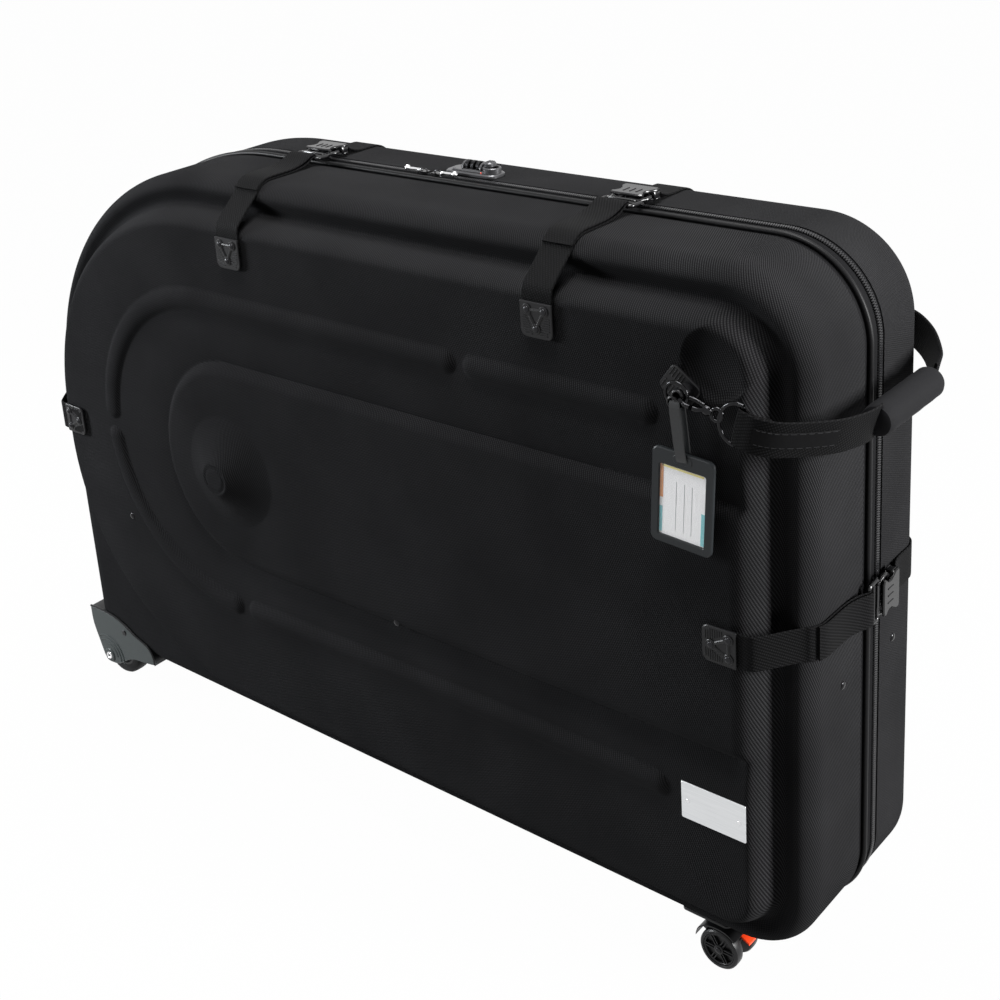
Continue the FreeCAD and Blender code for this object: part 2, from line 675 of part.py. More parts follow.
width = number(s.strap_width)
middle = width / 2
play = number(s.seat)
tongue_front = number(s.tongue_front)
buckle_low = number(s.welt_radius * 2 - s.zip_inset + s.seat)
buckle_high = buckle_low + number(s.buckle_height)
buckle_front = tongue_front + number(s.tongue_length) + play
buckle_back = buckle_front + number(s.buckle_length)
buckle_half = number(s.buckle_width) / 2
skin = number(s.buckle_wall)
prong_low = buckle_low + skin + number(s.prong_play)
prong_high = buckle_high - skin - number(s.prong_play)
fasteners = {"front": [], "back": []}
# The front half stops short of the datum plane, the back half runs up to the buckle behind it.
for side, end, depth, face, near in (("front", -1, s.front_depth, front_face, -tongue_front),
                                     ("back", 1, s.back_depth, back_face, buckle_back)):
    spots = edge_spots(end)
    plate = number(s.anchor_thickness)
    wide = number(s.anchor_width) / 2
    low = -number(s.anchor_drop) - number(s.anchor_overhang)
    straps, plates, heads = [], [], []
    for spot, on_plate in zip(spots, (False, False, False, True)):
        path = strap_path(depth, face, near, on_plate)
        straps.append(ribbon(path, s.strap_thickness, s.strap_width, spot))
        surface = path[0][0] - number(s.strap_thickness) / 2 - play
        solid = block(spot, (surface, surface - plate), (low, low + number(s.anchor_length)),
                      (middle - wide, middle + wide))
        upright = [edge for edge in solid.Edges if abs(edge.tangentAt(edge.FirstParameter).y) > 0.99]
        plates.append(solid.makeFillet(plate, upright))
        for across, out in ((-0.55, 0.25), (0.55, 0.25), (0, 0.75)):
            point = spot(surface - plate, low + out * number(s.anchor_length), middle + across * wide)
            heads.append(Part.makeCylinder(number(s.rivet_radius), number(s.rivet_rise), point,
                                           FreeCAD.Vector(0, end, 0)))
    node(feature(f"{side}_strap_set", Part.makeCompound(straps)), f"{side}_straps")
    node(feature(f"{side}_anchor_set", Part.makeCompound(plates)), f"{side}_strap_anchors")
    fasteners[side].append(feature(f"{side}_rivet_set", Part.makeCompound(heads)))
tongues, bodies = [], []
for spot in edge_spots(1):
    # Depths count from the datum plane, negative towards the back here.
    base = block(spot, (-tongue_front, -buckle_front + play), (buckle_low, buckle_high - skin),
                 (middle - buckle_half, middle + buckle_half))
    for across in (-2, 0, 2):
        centre = middle + across * number(s.prong_width)
        prong = block(spot, (-buckle_front + 2 * play, -buckle_front - number(s.prong_length)),
                      (prong_low, prong_high),
                      (centre - number(s.prong_width) / 2, centre + number(s.prong_width) / 2))
        base = base.fuse(prong)
    tongues.append(base.removeSplitter())
    case = block(spot, (-buckle_front, -buckle_back), (buckle_low, buckle_high),
                 (middle - buckle_half, middle + buckle_half))
    room = block(spot, (-buckle_front + 1, -buckle_back + skin), (buckle_low + skin, buckle_high - skin),
                 (middle - buckle_half + skin, middle + buckle_half - skin))
    bodies.append(case.cut(room))
node(feature("tongue_set", Part.makeCompound(tongues)), "buckle_tongues")
node(feature("buckle_set", Part.makeCompound(bodies)), "buckle_bodies")


# Carrying handle: modelled level, then turned down about the loop that it hangs on
loop_z = floor_z + s.loop_height
hook_y = -front_face - s.hook_place
droop = FreeCAD.Placement(
    FreeCAD.Vector(), FreeCAD.Rotation(FreeCAD.Vector(0, 1, 0), number(s.handle_droop)),
    FreeCAD.Vector(number(s.loop_x), 0, number(loop_z)))


def drooped(item, label):
    """Turn a finished handle piece down with the rest of the handle."""
    doc.recompute()
    copy = feature(f"{label}_drooped", item.Shape.copy())
    copy.Placement = droop.multiply(copy.Placement)
    return node(copy, label)


hook_x = s.loop_x + s.loop_radius + s.hook_radius - s.wire_radius * 2 - s.seat
hook_ring = torus("hook_ring", "z", hook_x, hook_y, loop_z, s.hook_radius, s.wire_radius)
gate_y = hook_y - s.hook_radius * 2
gate_depth = s.hook_radius * 2 - s.wire_radius
gate_low = loop_z - s.hook_radius
gate_room = box("gate_room", hook_x - s.gate_length / 2, gate_y, gate_low, s.gate_length, gate_depth,
                s.hook_radius * 2)
# The gate's hinge end has room to turn.
gate_inside = box("gate_inside", hook_x - s.gate_length / 2 + s.seat, gate_y, gate_low,
                  s.gate_length - s.seat * 4, gate_depth, s.hook_radius * 2)
gate_ring = torus("gate_ring", "z", hook_x, hook_y, loop_z, s.hook_radius, s.wire_radius)
eye_x = hook_x + s.hook_radius * 2 + s.eye_radius
shank = cylinder("hook_shank", "x", hook_x + s.hook_radius, hook_y, loop_z,
                 s.wire_radius * 1.6, s.hook_radius)
hook_eye = torus("hook_eye", "z", eye_x, hook_y, loop_z, s.eye_radius, s.eye_wire)
drooped(fuse("hook_whole", cut("hook_open", hook_ring, gate_room), shank, hook_eye), "snap_hook")
drooped(common("gate_piece", gate_ring, gate_inside), "hook_gate")

# The ring is half round, with a straight bar that carries the webbing.
bar_x = eye_x + s.eye_radius - s.eye_wire - s.seat - s.wire_radius + s.ring_radius
bow = torus("ring_bow", "y", bar_x, hook_y, loop_z, s.ring_radius, s.wire_radius)
bow_room = box("ring_bow_room", bar_x, hook_y - s.wire_radius * 2, loop_z - s.ring_radius * 2,
               s.ring_radius * 2, s.wire_radius * 4, s.ring_radius * 4)
bar = cylinder("ring_bar", "z", bar_x, hook_y, loop_z - s.ring_radius - s.wire_radius, s.wire_radius,
               (s.ring_radius + s.wire_radius) * 2)
drooped(fuse("ring_whole", cut("ring_half", bow, bow_room), bar), "handle_ring")

bar_line = number(bar_x)
grip_x = number(half_length + s.handle_reach)
grip_front = number(s.grip_place - s.grip_length / 2)
grip_back = number(s.grip_place + s.grip_length / 2)
hook_line = number(hook_y)
back_line = number(back_face + s.hook_place)
corner = number(s.handle_corner)
half_web = number(s.handle_webbing) / 2
web_low = number(loop_z - s.strap_width / 2)
up = FreeCAD.Vector(0, 0, 1)


def handle_band(path):
    """A band of webbing at the loop's height, through points seen from above."""
    return ribbon(path, s.handle_webbing, s.strap_width, lambda a, b, w: FreeCAD.Vector(a, b, web_low + w))


front_web = handle_band([(bar_line, hook_line), (bar_line + corner / 4, hook_line),
                         (grip_x - corner / 4, grip_front - corner), (grip_x, grip_front - half_web),
                         (grip_x, grip_front)])
core = Part.makeBox(half_web * 2, grip_back - grip_front, number(s.grip_core),
                    FreeCAD.Vector(grip_x - half_web, grip_front, number(loop_z - s.grip_core / 2)))
bar_eye = Part.makeCylinder(number(s.wire_radius) + half_web, number(s.strap_width),
                            FreeCAD.Vector(bar_line, hook_line, web_low), up)
bar_bore = Part.makeCylinder(number(s.wire_radius + s.seat), number(s.strap_width),
                             FreeCAD.Vector(bar_line, hook_line, web_low), up)
front_whole = front_web.fuse([core, bar_eye]).cut(bar_bore).removeSplitter()
drooped(feature("webbing_level", front_whole), "handle_webbing")
# The webbing parts at the grip's back end, so the front shell can open with the handle on it.
tail_start = grip_back + number(s.tail_gap)
tail = handle_band([(grip_x, tail_start), (grip_x, tail_start + half_web),
                    (grip_x - corner / 4, tail_start + corner / 2), (bar_line + corner / 4, back_line),
                    (number(s.loop_x - s.strap_width / 3), back_line)])
pin_hole = Part.makeCylinder(number(s.handle_pin + s.running_gap), half_web * 4,
                             FreeCAD.Vector(number(s.loop_x), back_line - half_web * 2, number(loop_z)),
                             FreeCAD.Vector(0, 1, 0))
drooped(feature("tail_level", tail.cut(pin_hole)), "handle_tail")
grip = Part.makeCylinder(number(s.grip_radius), grip_back - grip_front - 2 * play,
                         FreeCAD.Vector(grip_x, grip_front + play, number(loop_z)), FreeCAD.Vector(0, 1, 0))
bore = Part.makeBox(half_web * 2 + 2 * play, grip_back - grip_front, number(s.grip_core) + 2 * play,
                    FreeCAD.Vector(grip_x - half_web - play, grip_front,
                                   number(loop_z - s.grip_core / 2) - play))
rims = [edge for edge in grip.Edges if is_round(edge)]
drooped(feature("grip_level", grip.makeFillet(number(s.grip_radius) / 4, rims).cut(bore)), "handle_grip")

# Ends of the handle: a plate with a loop in front, a large rivet behind
anchor_x = s.loop_x - s.hook_anchor_shift
anchor_plate = rounded("hook_plate_round", box(
    "hook_plate", anchor_x - s.hook_anchor_width / 2, -front_face - s.anchor_thickness,
    loop_z - s.hook_anchor_height / 2, s.hook_anchor_width, s.anchor_thickness, s.hook_anchor_height),
    s.hook_anchor_round, along("y"))
lug_reach = s.hook_place + s.wire_radius * 2 - s.anchor_thickness
lug_x = s.loop_x - s.loop_radius
lug = middle_box("hook_lug", lug_x, -front_face - s.anchor_thickness - lug_reach / 2, loop_z,
                 s.wire_radius * 5, lug_reach, s.wire_radius * 4)
lug_bore = middle_box("hook_lug_bore", lug_x + s.wire_radius * 0.3, hook_y, loop_z, s.wire_radius * 3,
                      s.wire_radius * 2.3, s.wire_radius * 6)
node(cut("hook_anchor_bored", fuse("hook_anchor_whole", anchor_plate, lug), lug_bore), "hook_anchor")
node(torus("anchor_loop", "y", s.loop_x, hook_y, loop_z, s.loop_radius, s.wire_radius), "hook_loop")
pin = cylinder("handle_pin", "y", s.loop_x, back_face, loop_z,
               s.handle_pin, s.hook_place + s.handle_webbing)
spacer = cylinder("handle_spacer", "y", s.loop_x, back_face, loop_z, s.handle_pin * 2,
                  s.hook_place - s.handle_webbing / 2 - s.seat)
head_y = back_face + s.hook_place + s.handle_webbing / 2 + s.seat
head = cylinder("handle_pin_head", "y", s.loop_x, head_y, loop_z, s.handle_pin * 2, s.wire_radius)
fasteners["back"].append(fuse("handle_rivet", pin, spacer, head))

# Luggage tag
tag_z = loop_z - s.loop_radius
tag_top = tag_z - s.tag_strap_length
frame_block = rounded("tag_round", middle_box(
    "tag_block", s.loop_x, hook_y, tag_top - s.tag_height / 2, s.tag_width, s.tag_thickness, s.tag_height),
    s.tag_frame, along("y"))
slot_z = tag_top - s.tag_frame
strap_slot = middle_box("tag_slot", s.loop_x, hook_y, slot_z, s.tag_strap_width + 2, s.tag_thickness * 2,
                        s.tag_frame / 2)
window_height = s.tag_height - s.tag_frame * 3
window_z = tag_top - s.tag_height + s.tag_frame + window_height / 2
window = middle_box("tag_window", s.loop_x, hook_y - s.tag_thickness / 2, window_z,
                    s.tag_width - s.tag_frame * 2, s.tag_thickness, window_height)
node(cut("tag_open", frame_block, strap_slot, window), "tag_frame")
node(middle_box("tag_card_sheet", s.loop_x, hook_y - s.card_thickness / 2, window_z,
                s.tag_width - s.tag_frame * 2 - 1, s.card_thickness, window_height - 1), "tag_card")


def stadium(radius, length, low):
    """A flat plate with round ends, standing in the YZ plane."""
    half = number(s.tag_strap_width) / 2
    x = number(s.loop_x) - half
    y = number(hook_y)
    bottom = FreeCAD.Vector(x, y, low)
    top = FreeCAD.Vector(x, y, low + length)
    side = FreeCAD.Vector(1, 0, 0)
    ends = [Part.makeCylinder(radius, half * 2, point, side) for point in (bottom, top)]
    middle_part = Part.makeBox(half * 2, radius * 2, length, FreeCAD.Vector(x, y - radius, low))
    return ends[0].fuse([ends[1], middle_part]).removeSplitter()


inside = number(s.wire_radius) * 2
band = inside + number(s.tag_strap_thickness)
bar_reach = math.sqrt(inside ** 2 - (number(s.tag_thickness) / 2) ** 2)
low_end = number(slot_z + s.tag_frame / 4) + bar_reach - play
rise = number(tag_z) + play * 2 - low_end
node(feature("tag_loop", stadium(band, rise, low_end).cut(stadium(inside, rise, low_end))), "tag_strap")


# Wheels in corner housings
def wheel_unit(side, way, depth):
    """Housing, axle, hub and tyre of one fixed wheel. The front is way -1."""
    def out(distance):
        return distance * way
    axle_z = s.wheel_radius
    mid = out(depth - s.wheel_inset)
    outer = out(depth + s.housing_proud)
    inner = out(depth + s.housing_proud - s.housing_depth)
    low = outer if way < 0 else inner
    block_height = s.housing_height - s.housing_drop
    main = box(f"{side}_housing_block", housing_left, low, s.housing_drop,
               s.housing_length, s.housing_depth, block_height)
    soft = rounded(f"{side}_housing_soft", main, s.housing_round, along("y"))
    ear_y = outer if way < 0 else outer - s.ear_thickness
    ear = box(f"{side}_ear_block", housing_left + s.housing_length / 2, ear_y, floor_z,
              s.housing_length / 2 + s.housing_ear, s.ear_thickness, s.housing_height - floor_z)
    slope = box(f"{side}_ear_slope", Size.of(0), ear_y - 1, Size.of(0),
                s.housing_ear * 3, s.ear_thickness + 2, s.housing_height)
    slope.Placement.Rotation = FreeCAD.Rotation(FreeCAD.Vector(0, 1, 0), 40)
    place(slope, housing_left + s.housing_length * 0.72, ear_y - 1, s.housing_height)
    body = fuse(f"{side}_housing_whole", soft, cut(f"{side}_ear", ear, slope))
    arch_y = mid - s.wheel_width / 2 - s.wheel_gap / 2
    arch_width = s.wheel_width + s.wheel_gap
    arch_radius = s.wheel_radius + s.wheel_gap
    room = box(f"{side}_wheel_room", housing_left - arch_radius, arch_y, Size.of(0),
               s.wheel_x - housing_left + arch_radius, arch_width, axle_z + arch_radius)
    arch = cylinder(f"{side}_wheel_arch", "y", s.wheel_x, arch_y, axle_z, arch_radius, arch_width)
    start = low - s.rivet_rise
    length = s.housing_depth + s.rivet_rise * 2
    hole = cylinder(f"{side}_axle_hole", "y", s.wheel_x, start - 1, axle_z,
                    s.axle_radius + s.running_gap, length + 2)
    node(cut(f"{side}_housing", body, room, arch, hole), f"{side}_wheel_housing")
    node(cylinder(f"{side}_axle", "y", s.wheel_x, start, axle_z, s.axle_radius, length),
         f"{side}_wheel_axle")
    face = mid - s.wheel_width / 2
    hub = cylinder(f"{side}_hub", "y", s.wheel_x, face, axle_z, s.wheel_hub_radius, s.wheel_width)
    bore = cylinder(f"{side}_hub_bore", "y", s.wheel_x, face - 1, axle_z,
                    s.axle_radius + s.running_gap, s.wheel_width + 2)
    node(cut(f"{side}_hub_bored", hub, bore), f"{side}_wheel_hub")
    disc = cylinder(f"{side}_tyre_disc", "y", s.wheel_x, face, axle_z, s.wheel_radius, s.wheel_width)
    soft_disc = rounded(f"{side}_tyre_soft", disc, s.wheel_width / 4, is_round)
    seat_hole = cylinder(f"{side}_tyre_bore", "y", s.wheel_x, face - 1, axle_z,
                         s.wheel_hub_radius + s.running_gap, s.wheel_width + 2)
    node(cut(f"{side}_tyre", soft_disc, seat_hole), f"{side}_wheel_tyre")


# Twin-wheel casters
def caster_unit(side, way, depth):
    """Plate, screws, fork, wheels, axle and brake tab of one caster."""
    mid = (depth - s.caster_inset) * way
    plate_z = floor_z - s.caster_plate
    plate = middle_box(f"{side}_caster_flat", s.caster_x, mid, plate_z + s.caster_plate / 2,
                       s.caster_plate_length, s.caster_plate_width, s.caster_plate)
    soft = rounded(f"{side}_caster_soft", plate, s.caster_plate, along("z"))
    stem_top = floor_z - s.seat
    hole = cylinder(f"{side}_stem_hole", "z", s.caster_x, mid, plate_z - 1, s.stem_radius + s.running_gap,
                    s.caster_plate + 2)
    node(cut(f"{side}_caster_bored", soft, hole), f"{side}_caster_plate")
    screws = []
    for along_x in (-1, 1):
        for along_y in (-1, 1):
            x = s.caster_x + (s.caster_plate_length / 2 - s.screw_inset) * along_x
            y = mid + (s.caster_plate_width / 2 - s.screw_inset) * along_y
            screws.append(cylinder(f"{side}_screw_{along_x + 1}{along_y + 1}", "z", x, y,
                                   plate_z - s.rivet_rise, s.rivet_radius, s.rivet_rise))
    fasteners[side].extend(screws)
    axle_x = s.caster_x + s.caster_trail
    axle_z = s.caster_radius
    web_half = s.caster_spread - s.caster_width / 2 - s.seat * 2
    web = cylinder(f"{side}_fork_web", "y", axle_x, mid - web_half, axle_z,
                   s.caster_radius * 0.85, web_half * 2)
    boss_top = plate_z - s.seat
    boss = cylinder(f"{side}_fork_boss", "z", s.caster_x, mid, axle_z, web_half, boss_top - axle_z)
    hood_z = axle_z * 2 + s.hood_gap
    collar = cylinder(f"{side}_fork_collar", "z", s.caster_x, mid, hood_z, s.stem_boss_radius,
                      boss_top - hood_z)
    hood = middle_box(f"{side}_fork_hood", axle_x, mid, hood_z + s.hood_thickness / 2,
                      s.caster_radius * 1.5, (s.caster_spread + s.caster_width / 2) * 2, s.hood_thickness)
    hood_round = rounded(f"{side}_hood_round", hood, s.caster_radius / 2, along("z"))
    bridge = middle_box(f"{side}_fork_bridge", axle_x, mid, axle_z * 1.5,
                        s.caster_radius, web_half * 2, axle_z + s.hood_gap * 2)
    tab_x = axle_x + s.caster_radius * 0.42
    tab_z = axle_z + s.caster_radius * 0.55
    tab_room = middle_box(f"{side}_tab_room", tab_x + s.caster_radius / 2, mid, tab_z,
                          s.caster_radius * 1.25, s.tab_width + 1, s.tab_thickness * 2.2)
    stem = cylinder(f"{side}_fork_stem", "z", s.caster_x, mid, axle_z, s.stem_radius, stem_top - axle_z)
    axle_hole = cylinder(f"{side}_fork_bore", "y", axle_x, mid - s.caster_radius, axle_z,
                         s.caster_axle + s.running_gap, s.caster_radius * 2)
    body = fuse(f"{side}_fork_whole", web, boss, collar, hood_round, bridge, stem)
    open_body = cut(f"{side}_fork_open", body, tab_room, axle_hole)
    tab_pin = cylinder(f"{side}_tab_pin", "y", tab_x, mid - web_half, tab_z, s.tab_pin, web_half * 2)
    node(fuse(f"{side}_fork_pinned", open_body, tab_pin), f"{side}_caster_fork")
    tab = middle_box(f"{side}_tab_plate", tab_x + s.tab_length / 2 - s.tab_thickness / 2, mid, tab_z,
                     s.tab_length, s.tab_width, s.tab_thickness)
    tab_soft = rounded(f"{side}_tab_soft", tab, s.tab_thickness / 2.2, along("y"))
    tab_bore = cylinder(f"{side}_tab_bore", "y", tab_x, mid - s.tab_width, tab_z, s.tab_pin + s.running_gap,
                        s.tab_width * 2)
    node(cut(f"{side}_tab", tab_soft, tab_bore), f"{side}_brake_tab")
    reach = s.caster_spread + s.caster_width / 2 + s.rivet_rise
    node(cylinder(f"{side}_caster_pin", "y", axle_x, mid - reach, axle_z, s.caster_axle, reach * 2),
         f"{side}_caster_axle")
    for title, sign in (("outer", way), ("inner", -way)):
        face = mid + s.caster_spread * sign - s.caster_width / 2
        disc = cylinder(f"{side}_{title}_disc", "y", axle_x, face, axle_z, s.caster_radius, s.caster_width)
        soft_disc = rounded(f"{side}_{title}_soft", disc, s.caster_width / 5, is_round)
        bore = cylinder(f"{side}_{title}_bore", "y", axle_x, face - 1, axle_z,
                        s.caster_axle + s.running_gap, s.caster_width + 2)
        node(cut(f"{side}_{title}_wheel", soft_disc, bore), f"{side}_caster_wheel_{title}")


for side, way, depth in (("front", -1, s.front_depth), ("back", 1, s.back_depth)):
    wheel_unit(side, way, depth)
    caster_unit(side, way, depth)

# Badge, shell rivets, inner straps and base boards
badge_z = floor_z + s.badge_height
node(middle_box("badge_sheet", s.badge_x, -front_face - s.badge_thickness / 2, badge_z, s.badge_length,
                s.badge_thickness, s.badge_width), "badge")
badge_rivet_y = -front_face - s.badge_thickness - s.rivet_rise / 2
for count in (-1, 1):
    fasteners["front"].append(cylinder(
        f"badge_rivet_{count + 1}", "y", s.badge_x + s.badge_length * 0.4 * count, badge_rivet_y, badge_z,
        s.rivet_radius * 0.7, s.rivet_rise / 2))
rivet_z = floor_z + s.shell_rivet_height
end_rivet_z = floor_z + s.end_rivet_height
rivet_spots = ((s.shell_rivet_left, Size.of(0)), (s.shell_rivet_right, s.plate_rise))
for side, way, face, edge_y in (("front", -1, front_face, -s.end_rivet_front),
                                ("back", 1, back_face, s.end_rivet_back)):
    heads = fasteners[side]
    for count, (x, lift) in enumerate(rivet_spots):
        seat_y = (face + lift) * way
        rivet_y = seat_y if way > 0 else seat_y - s.rivet_rise
        heads.append(cylinder(f"{side}_shell_rivet_{count}", "y", x, rivet_y, rivet_z,
                              s.shell_rivet_radius, s.rivet_rise))
    heads.append(cylinder(f"{side}_end_rivet", "x", half_length, edge_y, end_rivet_z,
                          s.shell_rivet_radius, s.rivet_rise))
    node(group(f"{side}_fastener_set", heads), f"{side}_fasteners")
    inside_y = (face - s.wall) * way
    strap_x = s.shell_rivet_left - s.inner_strap_width
    strap_y = inside_y if way < 0 else inside_y - s.strap_thickness
    strap_length = s.shell_rivet_right - s.shell_rivet_left + s.inner_strap_width * 2
    node(box(f"{side}_inner_strap_band", strap_x, strap_y, rivet_z - s.inner_strap_width / 2,
             strap_length, s.strap_thickness, s.inner_strap_width), f"{side}_inner_strap")
    rim = s.front_rim if way < 0 else s.back_rim
    depth = s.front_depth if way < 0 else s.back_depth
    board_width = depth - s.border_round - rim
    board_y = -depth + s.border_round if way < 0 else rim
    node(box(f"{side}_board", -s.board_length / 2, board_y, floor_z + s.wall, s.board_length, board_width,
             s.board_thickness), f"{side}_base_board")

# Check every object, then write each piece to its own file
doc.recompute()
for item in doc.Objects:
    if "Invalid" in item.State or "Error" in item.State:
        raise RuntimeError(f"{item.Name} failed: {item.State}")
# The origin is on the floor under the middle of the whole case, wheels and handle included.
left_end = number(s.wheel_x - s.wheel_radius)
right_end = droop.multVec(FreeCAD.Vector(grip_x, 0, number(loop_z))).x + number(s.grip_radius)
origin = FreeCAD.Vector((left_end + right_end) / 2, number(back_face - front_face) / 2, 0)
os.makedirs("parts", exist_ok=True)
for item in NODES:
    shape = item.Shape
    if shape.isNull() or not shape.isValid():
        raise RuntimeError(f"{item.Label} has no valid shape")
    centred = shape.copy()
    centred.translate(-origin)
    centred.exportStep(f"parts/{item.Label}.step")
print(len(NODES), "pieces written")
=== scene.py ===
"""Looks of the bike travel case: twill shells, zip, straps, handle, tag, lock, badge, wheels and casters."""
import json
from math import cos, pi, radians, sin

import bmesh
import bpy
import numpy as np
from mathutils import Matrix, Vector


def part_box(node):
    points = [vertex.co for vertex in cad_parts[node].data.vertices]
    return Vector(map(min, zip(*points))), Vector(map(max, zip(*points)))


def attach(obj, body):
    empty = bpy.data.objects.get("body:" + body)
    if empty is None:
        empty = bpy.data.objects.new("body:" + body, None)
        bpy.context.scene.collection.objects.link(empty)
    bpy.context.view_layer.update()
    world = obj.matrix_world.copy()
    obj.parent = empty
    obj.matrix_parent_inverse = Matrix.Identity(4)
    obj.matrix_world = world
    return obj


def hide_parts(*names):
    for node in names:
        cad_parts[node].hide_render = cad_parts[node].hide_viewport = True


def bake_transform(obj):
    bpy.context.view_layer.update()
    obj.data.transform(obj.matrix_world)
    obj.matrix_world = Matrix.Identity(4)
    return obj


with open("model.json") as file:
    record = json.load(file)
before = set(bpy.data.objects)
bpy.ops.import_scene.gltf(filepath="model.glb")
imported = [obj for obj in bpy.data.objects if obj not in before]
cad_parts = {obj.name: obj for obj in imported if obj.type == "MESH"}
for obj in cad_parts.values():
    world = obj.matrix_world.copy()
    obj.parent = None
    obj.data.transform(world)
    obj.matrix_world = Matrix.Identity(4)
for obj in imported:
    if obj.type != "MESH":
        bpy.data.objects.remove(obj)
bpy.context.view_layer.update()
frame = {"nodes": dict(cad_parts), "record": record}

MM = 0.001

# Extents of the shells, read from the frame. Values that differ go by the half's side: -1 front, 1 back.
front_low, front_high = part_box("front_shell")
back_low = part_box("back_shell")[0]
LEFT, RIGHT = front_low.x, front_high.x
BOTTOM, TOP = front_low.z, front_high.z
MIDDLE_X = (LEFT + RIGHT) / 2
MIDDLE_Z = (BOTTOM + TOP) / 2
RIM = {-1: front_high.y, 1: back_low.y}
# Side, name, and extra depth in millimetres of each half.
HALVES = ((-1, "front", 0), (1, "back", 12))

# Depths of the moulded faces, out from the zip's side. Corners run from the top right one over the top left.
BORDER = {-1: 112 * MM, 1: 124 * MM}
BORDER_ROUND = 30 * MM
PANEL = 140 * MM
PANEL_MARGIN = 39 * MM
CORNERS = [100 * MM, 360 * MM, 60 * MM, 86 * MM]
PANEL_CORNERS = [61 * MM, 321 * MM, 314 * MM, 47 * MM]
WALL = 6 * MM

# Materials, all procedural, each noted with the slot of the pieces that wear it.
FINISHES = {}
SLOTS = {}


def new_finish(name, slot):
    material = bpy.data.materials.new(name)
    material.use_nodes = True
    FINISHES[name] = material
    SLOTS[name] = slot or name
    return material.node_tree, material.node_tree.nodes["Principled BSDF"]


def fill(tree, node, inputs):
    """Sets a node's inputs to values, or links them to other nodes' outputs."""
    for name, value in inputs.items():
        if isinstance(value, bpy.types.NodeSocket):
            tree.links.new(value, node.inputs[name])
        else:
            node.inputs[name].default_value = value


def output(tree, kind, result, inputs, **settings):
    """One result of a new node with those inputs and settings."""
    node = tree.nodes.new("ShaderNode" + kind)
    for name, value in settings.items():
        setattr(node, name, value)
    fill(tree, node, inputs)
    return node.outputs[result]


def arithmetic(tree, operation, first, second):
    return output(tree, "Math", "Value", {0: first, 1: second}, operation=operation)


def dress(tree, shader, shade, relief, dark, light, bump, depth, values):
    """Colours a surface by one pattern, and raises it by another."""
    colours = {"A": (dark[0], *dark[-2:], 1), "B": (light[0], *light[-2:], 1), "Factor": shade}
    raised = output(tree, "Bump", "Normal", {"Strength": bump, "Distance": depth, "Height": relief})
    mixed = output(tree, "Mix", "Result", colours, data_type="RGBA")
    fill(tree, shader, {"Base Color": mixed, "Normal": raised, **values})


def plain(name, dark, light, roughness, slot=None, metallic=0, grain=(300, 300, 300), detail=3,
          bump=0.15, depth=0.2 * MM, specular=0.5):
    """A solid finish whose colour and surface vary a little."""
    tree, shader = new_finish(name, slot)
    place = output(tree, "TexCoord", "Object", {})
    grains = output(tree, "Mapping", "Vector", {"Scale": grain, "Vector": place})
    noise = output(tree, "TexNoise", "Fac", {"Scale": 1, "Detail": detail, "Vector": grains})
    dress(tree, shader, noise, noise, dark, light, bump, depth,
          {"Roughness": roughness, "Metallic": metallic, "Specular IOR Level": specular})


def stripes(tree, place, turn, pitch):
    """Parallel stripes across a surface, from 0 to 1, with that pitch in metres."""
    turned_place = output(tree, "Mapping", "Vector", {"Rotation": (0, 0, radians(turn)), "Vector": place})
    wave = {"Scale": 2 * pi / (20 * pitch), "Detail": 0, "Vector": turned_place}
    return output(tree, "TexWave", "Fac", wave, wave_type="BANDS", bands_direction="X")


def cloth(name, slot, dark, light, turn, pitch, cross_pitch, bump, sheen=0, specular=0.05):
    """Woven cloth: ribs broken by finer cross threads, laid out by the piece's own UV map in metres."""
    tree, shader = new_finish(name, slot)
    place = output(tree, "TexCoord", "UV", {})
    ribs = stripes(tree, place, turn, pitch)
    threads = arithmetic(tree, "MULTIPLY", stripes(tree, place, turn + 90, cross_pitch), 0.6)
    weave = arithmetic(tree, "MULTIPLY", ribs, arithmetic(tree, "ADD", threads, 0.4))
    patch_place = output(tree, "TexCoord", "Object", {})
    patch = output(tree, "TexNoise", "Fac", {"Scale": 9, "Detail": 2, "Vector": patch_place})
    shade = arithmetic(tree, "MULTIPLY", weave, arithmetic(tree, "ADD", patch, 0.4))
    dress(tree, shader, shade, weave, dark, light, bump, 0.5 * MM,
          {"Roughness": 0.7, "Specular IOR Level": specular, "Sheen Weight": sheen, "Sheen Roughness": 0.4})


FINE = (900, 900, 900)
# Greys are given as one value for red and green, and one for blue. The first finish of a slot also
# goes on the frame's own pieces in that slot.
cloth("twill", "shell_fabric", (0.006, 0.0063), (0.033, 0.0345), -22, 2.3 * MM, 1.9 * MM, 0.4, 0.01, 0)
cloth("webbing", None, (0.0012, 0.0013), (0.008, 0.0085), 62, 3 * MM, 2.4 * MM, 0.8)
cloth("zip_tape", None, (0.003, 0.0033), (0.01, 0.011), 60, 1.2 * MM, 1.2 * MM, 0.4)
cloth("lining", "shell_fabric", (0.02, 0.021), (0.045, 0.047), 0, 1.6 * MM, 1.6 * MM, 0.3)
plain("black_plastic", (0.005, 0.0055), (0.009, 0.01), 0.36, specular=0.2)
plain("gloss_plastic", (0.004, 0.0045), (0.007, 0.0075), 0.2, "buckle_plastic", specular=0.4)
plain("grey_plastic", (0.03, 0.037, 0.037), (0.04, 0.047, 0.047), 0.4, specular=0.2)
plain("rubber", (0.007, 0.0075), (0.013, 0.014), 0.55, "tyre_rubber", specular=0.1)
plain("wheel_plastic", (0.007, 0.0075), (0.012, 0.013), 0.35, specular=0.2)
plain("bright_metal", (0.62, 0.63), (0.78, 0.79), 0.24, metallic=1)
plain("gunmetal", (0.014, 0.015), (0.025, 0.026), 0.18, metallic=1)
